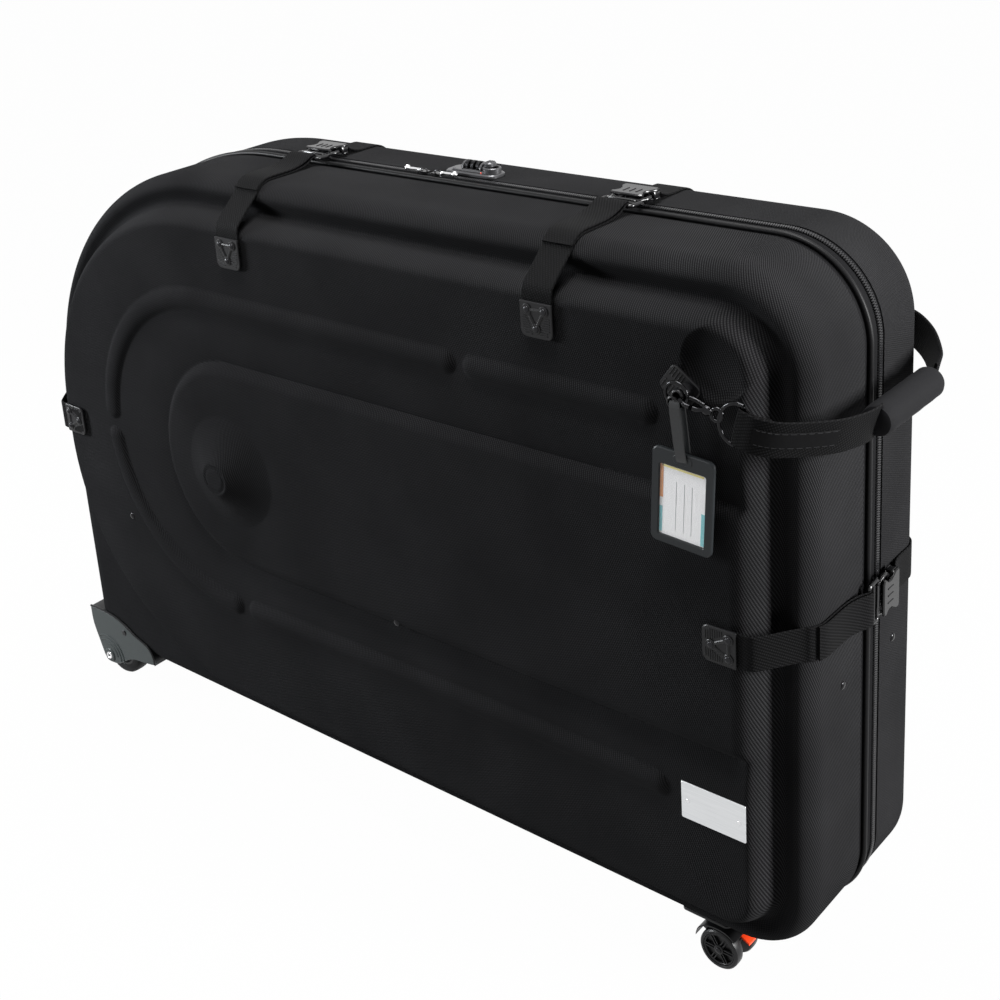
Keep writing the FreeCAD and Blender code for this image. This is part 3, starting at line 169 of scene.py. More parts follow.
plain("dark_metal", (0.018, 0.019), (0.03, 0.032), 0.3, "gunmetal", metallic=1)
plain("lock_grey", (0.06, 0.063), (0.09, 0.094), 0.32, metallic=0.6)
plain("foam", (0.006, 0.0065), (0.012, 0.013), 0.75, grain=FINE, bump=0.4, specular=0.05)
plain("tag_plastic", (0.01, 0.012, 0.013), (0.016, 0.018, 0.02), 0.4, specular=0.2)
plain("card_white", (0.84, 0.83, 0.83), (0.9, 0.89, 0.89), 0.6)
plain("brake_orange", (0.88, 0.05, 0.008), (0.96, 0.07, 0.012), 0.4)
plain("zip_black", (0.01, 0.011), (0.018, 0.019), 0.3, "zip_tape", specular=0.3)
plain("piping", (0.003, 0.0033), (0.006, 0.0065), 0.45, "welt_cord", specular=0.12)
plain("label_black", (0.002, 0.0022), (0.004, 0.0043), 0.6, "webbing", specular=0.05)
plain("thread", (0.012, 0.013), (0.02, 0.021), 0.6, "webbing", specular=0.1)
plain("strap_gloss", (0.012, 0.013, 0.014), (0.019, 0.02, 0.021), 0.25, "tag_plastic", specular=0.35)
plain("card_orange", (0.62, 0.22, 0.06), (0.75, 0.32, 0.1), 0.5, "card_white")
plain("card_teal", (0.1, 0.42, 0.46), (0.2, 0.55, 0.58), 0.5, "card_white", grain=FINE)
plain("card_yellow", (0.72, 0.6, 0.16), (0.8, 0.7, 0.26), 0.5, "card_white")
plain("card_ink", (0.25, 0.26, 0.27), (0.33, 0.34, 0.35), 0.6, "card_white")
plain("board_black", (0.02, 0.02), (0.035, 0.035), 0.7, "board")
plain("brushed_metal", (0.58, 0.59, 0.6), (0.76, 0.77, 0.78), 0.36, "bright_metal", metallic=0.85,
      grain=(30, 30, 1400), detail=2, bump=0.25, depth=0.1 * MM)
plain("clear_film", (0.9, 0.91, 0.91), (0.95, 0.96, 0.96), 0.08, "tag_plastic")
FINISHES["clear_film"].node_tree.nodes["Principled BSDF"].inputs["Alpha"].default_value = 0.06


# Lines, outlines and meshes.
def run_along(points):
    """Distance along a line of points, from its start."""
    return np.concatenate([[0], np.cumsum(np.linalg.norm(np.diff(points, axis=0), axis=1))])


def corner_points(width, height, radii, steps):
    """Points round a rectangle's rounded corners, from the right over the top, and the directions out."""
    spots = []
    signs = [(1, 1), (-1, 1), (-1, -1), (1, -1)]
    for quarter, ((side, up), radius) in enumerate(zip(signs, radii)):
        for step in range(steps + 1):
            angle = pi / 2 * (quarter + step / steps)
            out, rise = cos(angle), sin(angle)
            middle = side * (width / 2 - radius), up * (height / 2 - radius)
            spots.append((middle[0] + radius * out, middle[1] + radius * rise, out, rise))
    return np.array(spots)


def rounded(width, height, radii, steps=6):
    """A rectangle's outline with corners of one radius, or of one radius each."""
    if not isinstance(radii, list):
        radii = [radii] * 4
    return corner_points(width, height, radii, steps)[:, :2]


def curve(points, steps=10):
    """A smooth line through points."""
    points = np.array(points, float)
    ends = np.vstack([2 * points[0] - points[1], points, 2 * points[-1] - points[-2]])
    t = np.linspace(0, 1, steps, endpoint=False)[:, None]
    rows = []
    for a, b, c, d in zip(ends[:-3], ends[1:-2], ends[2:-1], ends[3:]):
        square, cube = (2 * a - 5 * b + 4 * c - d) * t ** 2, (3 * b - a - 3 * c + d) * t ** 3
        rows.append(0.5 * (2 * b + (c - a) * t + square + cube))
    rows.append(points[-1:])
    return np.vstack(rows)


def circle(radius, count=40):
    angles = np.linspace(0, 2 * pi, count, endpoint=False)
    return [(radius * cos(a), radius * sin(a)) for a in angles]


def add_object(name, data):
    item = bpy.data.objects.new(name, data)
    bpy.context.scene.collection.objects.link(item)
    return item


def to_object(name, mesh, finish, body, *replaced, slot=None, sharp=35):
    item = add_object(name, mesh)
    mesh.materials.append(FINISHES[finish])
    mesh.shade_smooth()
    mesh.set_sharp_from_angle(angle=radians(sharp))
    if body:
        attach(item, body)
    if replaced:
        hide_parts(*replaced)
    return item


def grid_mesh(name, points, uv, wrap=False):
    """A mesh from rows of points of equal length; wrap joins each row's end to its start."""
    rows, columns = points.shape[:2]
    index = np.arange(rows * columns).reshape(rows, columns)
    following = np.roll(index, -1, axis=1) if wrap else index[:, 1:]
    this = index if wrap else index[:, :-1]
    faces = np.stack([this[:-1], following[:-1], following[1:], this[1:]], axis=-1).reshape(-1, 4)
    mesh = bpy.data.meshes.new(name)
    mesh.from_pydata(points.reshape(-1, 3).tolist(), [], faces.tolist())
    layer = mesh.uv_layers.new(name="UVMap")
    corners = np.empty(len(mesh.loops), dtype=np.int32)
    mesh.loops.foreach_get("vertex_index", corners)
    layer.data.foreach_set("uv", uv.reshape(-1, 2)[corners].astype(np.float32).ravel())
    return mesh


# The shells' outline and relief.
def outline(inset, count):
    """Points round the case at an inset from its edge, from the right end over the top, as many above as
    below, and the directions out."""
    start = (RIGHT - MIDDLE_X, 0, 1, 0)
    dense = np.vstack([start, corner_points(RIGHT - LEFT, TOP - BOTTOM, CORNERS, 100), start])
    run = run_along(dense[:, :2])
    left_end = np.argmin(np.abs(dense[:, 1]) + (dense[:, 0] > 0))
    left_run = run[left_end] - dense[left_end, 1]
    stations = np.concatenate([np.linspace(0, left_run, count // 2, endpoint=False),
                               np.linspace(left_run, run[-1], count // 2, endpoint=False)])
    found = np.stack([np.interp(stations, run, line) for line in dense.T], axis=-1)
    normal = found[:, 2:] / np.linalg.norm(found[:, 2:], axis=1, keepdims=True)
    return found[:, :2] - normal * inset + (MIDDLE_X, MIDDLE_Z), normal


def inset_of(x, z, box, corners):
    """How far points lie inside a box with rounded corners; negative outside."""
    left, right, bottom, top = box
    across = x - (left + right) / 2
    up = z - (bottom + top) / 2
    top_right, top_left, bottom_left, bottom_right = corners
    radius = np.where(across < 0, np.where(up > 0, top_left, bottom_left),
                      np.where(up > 0, top_right, bottom_right))
    beyond_x = np.abs(across) - (right - left) / 2 + radius
    beyond_z = np.abs(up) - (top - bottom) / 2 + radius
    outside = np.hypot(np.maximum(beyond_x, 0), np.maximum(beyond_z, 0))
    return radius - outside - np.minimum(np.maximum(beyond_x, beyond_z), 0)


def smooth(t):
    t = np.clip(t, 0, 1)
    return t * t * (3 - 2 * t)


def shoulder(t, power):
    return 1 - (1 - np.clip(t, 0, 1)) ** power


# Boxes of left, right, bottom and top.
EDGE_BOX = (LEFT, RIGHT, BOTTOM, TOP)
PANEL_BOX = (LEFT + PANEL_MARGIN, RIGHT - PANEL_MARGIN, BOTTOM + PANEL_MARGIN, TOP - PANEL_MARGIN)
VALLEY_DEPTH = 10 * MM
RIB_CENTRE = (MIDDLE_X - 222 * MM, BOTTOM + 400 * MM)
RIB_RADIUS = 209 * MM
RIB_END = MIDDLE_X + 430 * MM
RIB_HALF_WIDTH = 14 * MM
RIB_RISE = 6 * MM
RIB_TOP_BREAK = MIDDLE_X + 196 * MM
RIB_BOTTOM_BREAK = MIDDLE_X - 204 * MM
RIB_HALF_BREAK = 20 * MM
PLATE_BOX = (MIDDLE_X - 321 * MM, RIGHT + 400 * MM, BOTTOM + 254 * MM, BOTTOM + 532 * MM)
PLATE_DIP = 5 * MM
PLATE_STEP = 11 * MM
HUB_CENTRE = (MIDDLE_X - 195 * MM, BOTTOM + 388 * MM)
HUB_RISE = 27 * MM
DISH_CENTRE = (MIDDLE_X + 510 * MM, BOTTOM + 672 * MM)
DISH_RADIUS = 36 * MM
DISH_DEPTH = 9 * MM


def rib_rise(x, z):
    """Height of the broken U-shaped rib, with rounded ends at its breaks."""
    straight = RIB_END - RIB_CENTRE[0]
    bend = pi * RIB_RADIUS
    along_x = x - RIB_CENTRE[0]
    up = z - RIB_CENTRE[1]
    angle = np.mod(np.arctan2(-along_x, up), 2 * pi)
    level = np.where(up > 0, straight - along_x, straight + bend + along_x)
    run = np.where(along_x > 0, level, straight + RIB_RADIUS * angle)
    aside = np.where(along_x > 0, np.abs(up), np.hypot(along_x, up)) - RIB_RADIUS
    lower_break = straight + bend + RIB_BOTTOM_BREAK - RIB_CENTRE[0]
    breaks = [RIB_END - RIB_TOP_BREAK, straight + bend / 2, lower_break]
    starts = [0] + [spot + RIB_HALF_BREAK for spot in breaks]
    ends = [spot - RIB_HALF_BREAK for spot in breaks] + [2 * straight + bend]
    rise = np.zeros_like(x)
    for start, end in zip(starts, ends):
        past = np.maximum(np.maximum(start - run, run - end), 0)
        distance = np.hypot(past, aside) / RIB_HALF_WIDTH
        rise = np.maximum(rise, RIB_RISE * np.sqrt(np.clip(1 - distance ** 2, 0, 1)) ** 1.4)
    return rise


def face_height(x, z, side):
    """How far a half's moulded face stands out from the zip's side; only the front has the dish."""
    edge = inset_of(x, z, EDGE_BOX, CORNERS)
    inner = inset_of(x, z, PANEL_BOX, PANEL_CORNERS)
    plate = inset_of(x, z, PLATE_BOX, [138 * MM] * 4)
    fall = BORDER_ROUND - np.clip(edge, 0, BORDER_ROUND)
    height = BORDER[side] - BORDER_ROUND + np.sqrt(BORDER_ROUND ** 2 - fall ** 2)
    height -= VALLEY_DEPTH * np.exp(-((inner + 8 * MM) / (11 * MM)) ** 2) * smooth(edge / (26 * MM))
    height += (PANEL - BORDER[side]) * shoulder((inner + 2 * MM) / (20 * MM), 2.3)
    dip = -PLATE_DIP * np.clip(1 + plate / (46 * MM), 0, 1) ** 1.7
    rise = -PLATE_DIP + PLATE_STEP * shoulder(plate / (16 * MM), 2.6)
    within = smooth((inner - 6 * MM) / (22 * MM))
    height += within * (np.where(plate < 0, dip, rise) + rib_rise(x, z))
    from_hub = np.hypot(x - HUB_CENTRE[0], z - HUB_CENTRE[1])
    flank = np.clip((from_hub - 20 * MM) / (54 * MM), 0, 1)
    height += HUB_RISE * (1 - flank) ** 1.15 * (1 - 0.35 * flank) * (flank < 1)
    height -= 1.6 * MM * np.exp(-((from_hub - 17 * MM) / (2 * MM)) ** 2)
    if side < 0:
        from_dish = np.hypot(x - DISH_CENTRE[0], z - DISH_CENTRE[1]) / DISH_RADIUS
        height -= DISH_DEPTH * np.clip(1 - from_dish ** 2, 0, 1) ** 0.6
    return height


LAST_RING = 46 * MM


def shell_rows(columns, rows, side, thickness):
    """Rows of points from the rim over the wall and border, then in to a line along the middle, and their
    places on the cloth, which runs on unbroken from the face over the border and down the wall."""
    rim = RIM[side] * side
    wall_end = BORDER[side] - BORDER_ROUND
    quarter = BORDER_ROUND * pi / 2
    levels = []
    if not thickness:
        levels.append((WALL, rim, quarter + wall_end - rim + WALL))
    for depth in np.linspace(rim, wall_end, 13):
        levels.append((0, depth, quarter + wall_end - depth))
    for angle in np.linspace(0, pi / 2, 12)[1:]:
        levels.append((BORDER_ROUND * (1 - cos(angle)), None, quarter - BORDER_ROUND * angle))
    round_rows = len(levels)
    for inset in np.linspace(BORDER_ROUND, LAST_RING, 9)[1:]:
        levels.append((inset, None, BORDER_ROUND - inset))
    base, normal = outline(BORDER_ROUND + thickness, columns)
    points = []
    maps = []

    def add_row(place, depth, spot):
        if depth is None:
            depth = face_height(*place.T, side) - thickness
        points.append(np.stack([place[:, 0], np.zeros(columns) + depth * side, place[:, 1]], axis=-1))
        maps.append(spot)

    for inset, depth, spread in levels:
        add_row(outline(inset + thickness, columns)[0], depth, base + normal * spread)
    ring = outline(LAST_RING + thickness, columns)[0]
    opposite = ring[-np.arange(columns)]
    spine_x = MIDDLE_X + 0.55 * ((ring[:, 0] + opposite[:, 0]) / 2 - MIDDLE_X)
    spine = np.stack([spine_x, np.full(columns, MIDDLE_Z)], axis=-1)
    for step in range(1, rows + 1):
        place = ring + (spine - ring) * step / rows
        add_row(place, None, place)
    points, maps = np.array(points), np.array(maps)
    # Past the border's round the relief takes up more cloth than a flat face would.
    steps = np.diff(points[round_rows - 1:], axis=0)
    flat = np.linalg.norm(steps[:, :, ::2], axis=2)
    excess = np.cumsum(np.linalg.norm(steps, axis=2) - flat, axis=0)
    excess *= 0.45 * (1 - smooth((np.cumsum(flat, axis=0) - 30 * MM) / (150 * MM)))
    maps[len(maps) - len(excess):] -= normal * excess[..., None]
    return points, maps


def shell_piece(name, side, columns, rows, finish, body, thickness, *replaced):
    """One skin of a half, cut away under the roof of the wheel's housing."""
    points, uv = shell_rows(columns, rows, side, thickness)
    mesh = grid_mesh(name, points, uv, True)
    edit = bmesh.new()
    edit.from_mesh(mesh)
    room_low, room_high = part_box("front_wheel_housing" if side < 0 else "back_wheel_housing")
    margin = Vector((4 * MM, 4 * MM, 4 * MM))
    limits = list(zip(room_low + margin, room_high - margin))
    inside = []
    for face in edit.faces:
        spot = face.calc_center_median()
        along = (spot.x - room_low.x) / (room_high.x - room_low.x)
        under_roof = along ** 2 + ((spot.z - BOTTOM) / (55 * MM)) ** 2 < 0.9
        if under_roof and all(low < value < high for value, (low, high) in zip(spot, limits)):
            inside.append(face)
    bmesh.ops.delete(edit, geom=inside, context="FACES")
    bmesh.ops.remove_doubles(edit, verts=edit.verts, dist=0.02 * MM)
    if (side > 0) != (thickness > 0):
        bmesh.ops.reverse_faces(edit, faces=edit.faces)
    edit.to_mesh(mesh)
    edit.free()
    to_object(name, mesh, finish, body, *replaced, sharp=50)


for (side, title, extra), columns, rows in zip(HALVES, (1300, 1000), (120, 90)):
    shell_piece(f"{title}_cover", side, columns, rows, "twill", f"{title}_half", 0, f"{title}_shell")
    shell_piece(f"{title}_lining", side, 360, 40, "lining", f"{title}_half", WALL)

# Smaller pieces are built in millimetres, in a frame of their own, from a few kinds of parts.
X, Y, Z = Vector((1, 0, 0)), Vector((0, 1, 0)), Vector((0, 0, 1))
CASE = Matrix.Translation((MIDDLE_X, 0, 0)) @ Matrix.Scale(MM, 4)


def axes(base, origin, first, second, third):
    """A frame at a point of another frame, with its own three directions."""
    turn = Matrix((first, second, third)).transposed().to_4x4()
    return base @ Matrix.Translation(origin) @ turn


def upright(*origin):
    """A frame along the case, through its depth, and up."""
    return CASE @ Matrix.Translation(origin)


def outward(x, y, z, side=-1):
    """A frame along the case, up, and out from a half's face."""
    return axes(CASE, (x, y, z), X, Z, Y * side)


def turned(angle, axis):
    return Matrix.Rotation(radians(angle), 4, axis)


def collar(hole, radius, half, soft_out, soft_along):
    """A closed profile of a ring with softened outer edges."""
    return [(hole, -half), (radius - soft_out, -half), (radius, -half + soft_along),
            (radius, half - soft_along), (radius - soft_out, half), (hole, half), (hole, -half)]


class Builder:
    """Gathers the parts of one piece."""

    def __init__(self, base):
        self.base = base
        self.edit = bmesh.new()
        self.uv = self.edit.loops.layers.uv.new("UVMap")

    def block(self, centre, size, bevel, turn=Matrix.Identity(4), segments=2):
        corners = bmesh.ops.create_cube(self.edit, size=1)["verts"]
        bmesh.ops.scale(self.edit, vec=size, verts=corners)
        edges = list({edge for corner in corners for edge in corner.link_edges})
        corners = bmesh.ops.bevel(self.edit, geom=edges, offset=bevel, segments=segments, profile=0.5,
                                  affect="EDGES")["verts"]
        bmesh.ops.transform(self.edit, matrix=self.base @ Matrix.Translation(centre) @ turn, verts=corners)

    def strip(self, *shape):
        """A small block with plain bevels."""
        self.block(*shape, segments=1)

    def grid(self, points, uv=None, wrap=False, caps=False):
        """Rows of points joined by faces."""
        rows = [[self.edit.verts.new(self.base @ Vector(point)) for point in row] for row in points]
        count = len(rows[0])
        for i in range(len(rows) - 1):
            for j in range(count if wrap else count - 1):
                k = (j + 1) % count
                face = self.edit.faces.new((rows[i][j], rows[i][k], rows[i + 1][k], rows[i + 1][j]))
                if uv is not None:
                    for loop, (a, b) in zip(face.loops, ((i, j), (i, k), (i + 1, k), (i + 1, j))):
                        loop[self.uv].uv = uv[a][b]
        if caps:
            self.edit.faces.new(rows[0][::-1])
            self.edit.faces.new(rows[-1])
        return rows

    def lathe(self, profile, centre=(0, 0, 0), axis=Z, sides=48):
        """A closed profile of (radius, height) turned about an axis, or an open one with its ends filled."""
        turn = Z.rotation_difference(Vector(axis)).to_matrix()
        rings = []
        for radius, height in profile:
            rings.append([Vector(centre) + turn @ Vector((*spot, height)) for spot in circle(radius, sides)])
        self.grid(rings, wrap=True, caps=tuple(profile[0]) != tuple(profile[-1]))

    def rod(self, start, end, radius, sides=20):
        """A straight rod with softened ends."""
        start, end = Vector(start), Vector(end)
        length = (end - start).length
        soft = min(radius * 0.3, length * 0.2)
        profile = [(radius - soft, 0), (radius, soft), (radius, length - soft), (radius - soft, length)]
        self.lathe(profile, start, end - start, sides)

    def dome(self, centre, axis, radius, rise):
        profile = [(radius * cos(a), rise * sin(a)) for a in np.linspace(0, 1.45, 7)]
        self.lathe([(radius, -rise * 0.4)] + profile, centre, axis, 24)

    def tube(self, points, radius, sides=12, closed=False):
        """A round tube along a line of points."""
        points = np.array(points, float)
        if closed:
            along = np.roll(points, -1, axis=0) - np.roll(points, 1, axis=0)
        else:
            along = np.gradient(points, axis=0)
        rings = []
        side = Vector(along[0]).normalized().orthogonal()
        for point, direction in zip(points, along):
            direction = Vector(direction).normalized()
            side = (side - direction * side.dot(direction)).normalized()
            other = direction.cross(side)
            rings.append([Vector(point) + a * side + b * other for a, b in circle(radius, sides)])
        if closed:
            rings.append(rings[0])
        self.grid(rings, wrap=True, caps=not closed)

    def ring_at(self, spots, inset, level):
        """An outline drawn in by an inset, at one height."""
        middle = spots.mean(axis=0)
        reach = np.abs(spots - middle).max(axis=0)
        return [(a, b, level) for a, b in middle + (spots - middle) * (1 - inset / reach)]

    def slab(self, spots, low, high, edge):
        """A plate with that outline in the frame's first two directions, and softened edges on both faces."""
        spots = np.array(spots, float)
        levels = ((edge, low), (0, low + edge), (0, high - edge), (edge, high))
        self.grid([self.ring_at(spots, *level) for level in levels], wrap=True, caps=True)

    def frame_slab(self, outer, inner, low, high, edge):
        """A flat frame between two outlines of equal point count."""
        levels = ((inner, -edge, low), (outer, edge, low), (outer, 0, low + edge), (outer, 0, high - edge),
                  (outer, edge, high), (inner, -edge, high), (inner, 0, high - edge), (inner, 0, low + edge),
                  (inner, -edge, low))
        self.grid([self.ring_at(*level) for level in levels], wrap=True)

    def ribbon(self, path, width, thickness):
        """Webbing along a line in the frame's second and third directions, with its width along the first."""
        path = np.array(path, float)
        half, flat = width / 2, thickness / 2
        soft = min(flat * 0.9, 1)
        section = [(-half + soft, -flat), (half - soft, -flat), (half, -flat + soft), (half, flat - soft),
                   (half - soft, flat), (-half + soft, flat), (-half, flat - soft), (-half, -flat + soft)]
        rows = [[(across, spot[0] + side[0] * up, spot[1] + side[1] * up) for across, up in section]
                for spot, side in zip(path, line_normals(path))]
        uv = [[(length * MM, across * MM) for across, up in section] for length in run_along(path)]
        self.grid(rows, uv, wrap=True, caps=True)

    def make(self, name, *labels, **options):
        bmesh.ops.recalc_face_normals(self.edit, faces=self.edit.faces)
        mesh = bpy.data.meshes.new(name)
        self.edit.to_mesh(mesh)
        self.edit.free()
        return to_object(name, mesh, *labels, **options)


def line_normals(path):
    """Directions square to a flat line of points, to its left."""
    along = np.gradient(path, axis=0)
    along /= np.linalg.norm(along, axis=1, keepdims=True)
    return np.stack([-along[:, 1], along[:, 0]], axis=-1)


# Zip: tape, teeth and welt from one end of the hinge, round the ends and the top, to the other.
HINGE_HALF = 450
ZIP_LINE = 27
TOOTH_PITCH = 2.7 * MM


def zip_stations(count):
    """The case's edge where the zip runs, from the hinge's right end on, and the directions out from it."""
    place, normal = outline(0, count)
    below = (place[:, 1] < BOTTOM + 0.2 * MM) & (np.abs(place[:, 0] - MIDDLE_X) < HINGE_HALF * MM)
    first = np.where(below & ~np.roll(below, -1))[0][0] + 1
    kept = np.arange(first, first + np.count_nonzero(~below)) % count
    return place[kept], normal[kept]


def zip_band(name, profile, finish, body, replaced):
    """A band that follows the zip's line, with that profile of (depth, height over the edge)."""
    place, normal = zip_stations(900)
    profile = np.array(profile) * MM
    spots = place[:, None] + normal[:, None] * profile[:, 1, None]
    depth = np.broadcast_to(profile[:, 0], spots.shape[:2])
    points = np.stack([spots[..., 0], depth, spots[..., 1]], axis=-1)
    uv = np.stack(np.broadcast_arrays(run_along(place)[:, None], run_along(profile)), axis=-1)
    to_object(name, grid_mesh(name, points, uv), finish, body, replaced, sharp=60)


def zip_teeth(name, side, body):
    """One row of the zip's teeth."""
    place, normal = zip_stations(3400)
    run = run_along(place)
    build = Builder(Matrix.Identity(4))
    for station in np.arange(TOOTH_PITCH + (side > 0) * TOOTH_PITCH / 2, run[-1] - TOOTH_PITCH, TOOTH_PITCH):
        found = np.array([np.interp(station, run, line) for line in (*place.T, *normal.T)])
        spot, out = found[:2], found[2:] / np.linalg.norm(found[2:])
        along = np.array([-out[1], out[0]])
        rings = []
        for height, shrink in ((-1.6, 1), (0.4, 1), (1.2, 0.7)):
            ring = []
            for aside, reach in ((-0.85, 2), (0.85, 2), (0.85, -2.1), (-0.85, -2.1)):
                x, z = spot + (along * aside * shrink + out * height) * MM
                ring.append((x, (ZIP_LINE + side * (1.4 + reach * shrink)) * MM, z))
            rings.append(ring)
        build.edit.faces.new(build.grid(rings, wrap=True)[-1])
    build.make(name, "zip_black", body)


zip_band("front_zip_tape", [(-3.8, -5), (-3.8, -2.6), (2, -2.8), (4, -2.6), (12, -2.4), (18, -1.2),
                            (23.4, -1), (24.6, -1.4), (24.6, -4)], "zip_tape", "front_half", "front_zip")
zip_band("back_zip_tape", [(29.4, -4), (29.4, -1.4), (30.6, -1), (34, -1), (36.4, -1.4), (36.4, -5)],
         "zip_tape", "back_half", "back_zip")
for side, title, extra in HALVES:
    zip_teeth(f"{title}_zip_teeth", side, f"{title}_half")
welt_profile = [(8 + 3 * sin(a), 3 * cos(a)) for a in np.linspace(-2.4, 2.4, 15)]
zip_band("front_piping", welt_profile, "piping", "front_half", "front_welt")

# Straps, their anchors and buckles, each drawn across, along the depth and out from the edge that it crosses.
END_X = 590
TOP_Z = 813
STRAP_Z = 444
SPOTS = {
    "top_left": upright(-150, 0, TOP_Z),
    "top_right": upright(308, 0, TOP_Z),
    "end_left": axes(CASE, (-END_X, 0, STRAP_Z), Z, Y, -X),
    "end_right": axes(CASE, (END_X, 0, STRAP_Z), Z, Y, X),
}
STRAP_WIDTH = 38
STRAP_THICKNESS = 2.4
STRAP_ROUND = 31.4
ROUND_MIDDLE = 82
FACE_DEPTH = 140
PLATE_LIFT = 6
ANCHOR_BOSSES = [(-10.5, 11), (10.5, 11), (0, -8.5)]


def anchor_parts(build):
    """A moulded anchor plate: a bridge of three bosses between two ribbed fields."""
    build.slab(rounded(40, 38, [1.5, 1.5, 8, 8]), 0, 2.8, 0.8)
    for a, b in ANCHOR_BOSSES:
        build.lathe([(5.6, 1), (5.6, 3.6), (4.9, 4.2), (0.2, 4.2)], (a, b, 0), sides=20)
    for start, end in ((0, 1), (1, 2), (2, 0)):
        build.rod((*ANCHOR_BOSSES[start], 2.2), (*ANCHOR_BOSSES[end], 2.2), 2.1, 10)
    for side in (-1, 1):
        for count in range(8):
            b = 3.5 - count * 2.6
            near = 5 + max(0, (b + 9) * 0.55)
            far = 17.2 if b > -11.5 else 14.5
            build.strip((side * (near + far) / 2, b, 3), (far - near, 1.1, 1), 0.3)


def tongue_parts(build):
    """The buckle's near half: a bar loop for the webbing, and three prongs."""
    build.tube([(a, b + 1.5, 9.2) for a, b in rounded(44, 19, 4, 5)], 2.3, closed=True)
    build.block((0, 9, 9.2), (34, 6, 5.4), 1.2)
    build.rod((-20, 1.5, 9.2), (20, 1.5, 9.2), 2)
    for side in (-1, 1):
        arm = [(15, 10), (18.5, 18), (20.8, 25), (18.5, 31), (14, 34)]
        build.tube(curve([(side * a, b, 9) for a, b in arm], 5), 2.4)
    build.block((0, 20, 9), (7, 20, 4), 1)


def body_parts(build):
    """The buckle's far half: a waisted case that the prongs click into, and a bar for the webbing."""
    half = [(16, 13.2), (20, 14.6), (20.6, 17), (17.4, 20), (15.4, 25), (15.8, 30), (19, 35), (22, 40),
            (22, 45.4), (20, 46.6)]
    spots = half + [(-a, b) for a, b in reversed(half)]
    build.slab(spots, 12.2, 15.8, 1.2)
    build.slab(spots, 3.8, 6.4, 0.8)
    build.block((0, 41, 9), (43, 10.6, 10), 2)
    for a in (-8, 0, 8):
        build.strip((a, 27, 16), (1.6, 12, 1), 0.4)


def strap_path(side, border_middle, face, start):
    """One strap of a half, from the buckle over the border's round to its anchor on the face."""
    points = start + [(side * border_middle, 1.6)]
    for angle in np.radians([75, 55, 35]):
        points.append((side * (border_middle + STRAP_ROUND * cos(angle)),
                       -30 + STRAP_ROUND * sin(angle)))
    for short, height in ((6.5, -36), (0.6, -44), (0, -54), (0, -66)):
        points.append((side * (face - short), height))
    return curve(points, 8)


STRAP_STARTS = {
    -1: [(-3, 9.2), (-9, 11.6), (-13, 10.2), (-24, 5), (-46, 1.8)],
    1: [(42, 10.5), (48, 10.6), (56, 6), (70, 2.2)],
}
STRAP_TAIL = [(-3, 7.4), (-8, 13.8), (-15, 13.4), (-28, 8.4), (-48, 5), (-82, 4.6), (-95, 1.8)]
for side, title, extra in HALVES:
    body = f"{title}_half"
    for spot, base in SPOTS.items():
        depth = FACE_DEPTH + (PLATE_LIFT if spot == "end_right" else 0)
        straps = Builder(base)
        path = strap_path(side, ROUND_MIDDLE + extra, depth + 1.4, STRAP_STARTS[side])
        straps.ribbon(path, STRAP_WIDTH, STRAP_THICKNESS)
        if side < 0:
            # The free end doubles back over the strap and is stitched down.
            tail = STRAP_TAIL + ([(-106, -6)] if spot.startswith("top") else [])
            straps.ribbon(curve(tail, 8), STRAP_WIDTH - 0.4, STRAP_THICKNESS)
        straps.make(f"{title}_strap_{spot}", "webbing", body, f"{title}_straps")
        face = axes(base, (0, side * (depth + 3), -75), X, Z, Y * side)
        plate = Builder(face)
        anchor_parts(plate)
        plate.make(f"{title}_anchor_{spot}", "black_plastic", body, f"{title}_strap_anchors")
        heads = Builder(face)
        for a, b in ANCHOR_BOSSES:
            heads.dome((a, b, 4.1), Z, 3.6, 1.9)
        heads.make(f"{title}_anchor_rivets_{spot}", "dark_metal", body, f"{title}_fasteners")
        buckle = Builder(base)
        if side < 0:
            tongue_parts(buckle)
            buckle.make(f"buckle_tongue_{spot}", "gloss_plastic", body, "buckle_tongues")
        else:
            body_parts(buckle)
            buckle.make(f"buckle_body_{spot}", "gloss_plastic", body, "buckle_bodies")

# Shell rivets, and the screws under the casters' plates.
CASTER_X = 455
CASTER_PLATE_Z = 54
CASTER_DEPTH = 76
SHELL_RIVET_Z = 320
END_RIVET_Y = {-1: -43, 1: 65}
for side, title, extra in HALVES:
    heads = Builder(CASE)
    for x in (-424, 72):
        depth = face_height(np.array([MIDDLE_X + x * MM]), np.array([SHELL_RIVET_Z * MM]), side)[0] / MM
        heads.dome((x, side * float(depth), SHELL_RIVET_Z), Y * side, 4.6, 2)
    heads.dome((END_X, END_RIVET_Y[side], 370), X, 4.6, 2)
    heads.make(f"{title}_shell_rivets", "gunmetal", f"{title}_half", f"{title}_fasteners")
    screws = Builder(upright(CASTER_X, side * (CASTER_DEPTH + extra), CASTER_PLATE_Z))
    for along in (-24, 24):
        for across in (-14, 14):
            screws.dome((along, across, 0), -Z, 3.4, 1.6)
    screws.make(f"{title}_caster_screws", "dark_metal", f"{title}_half")

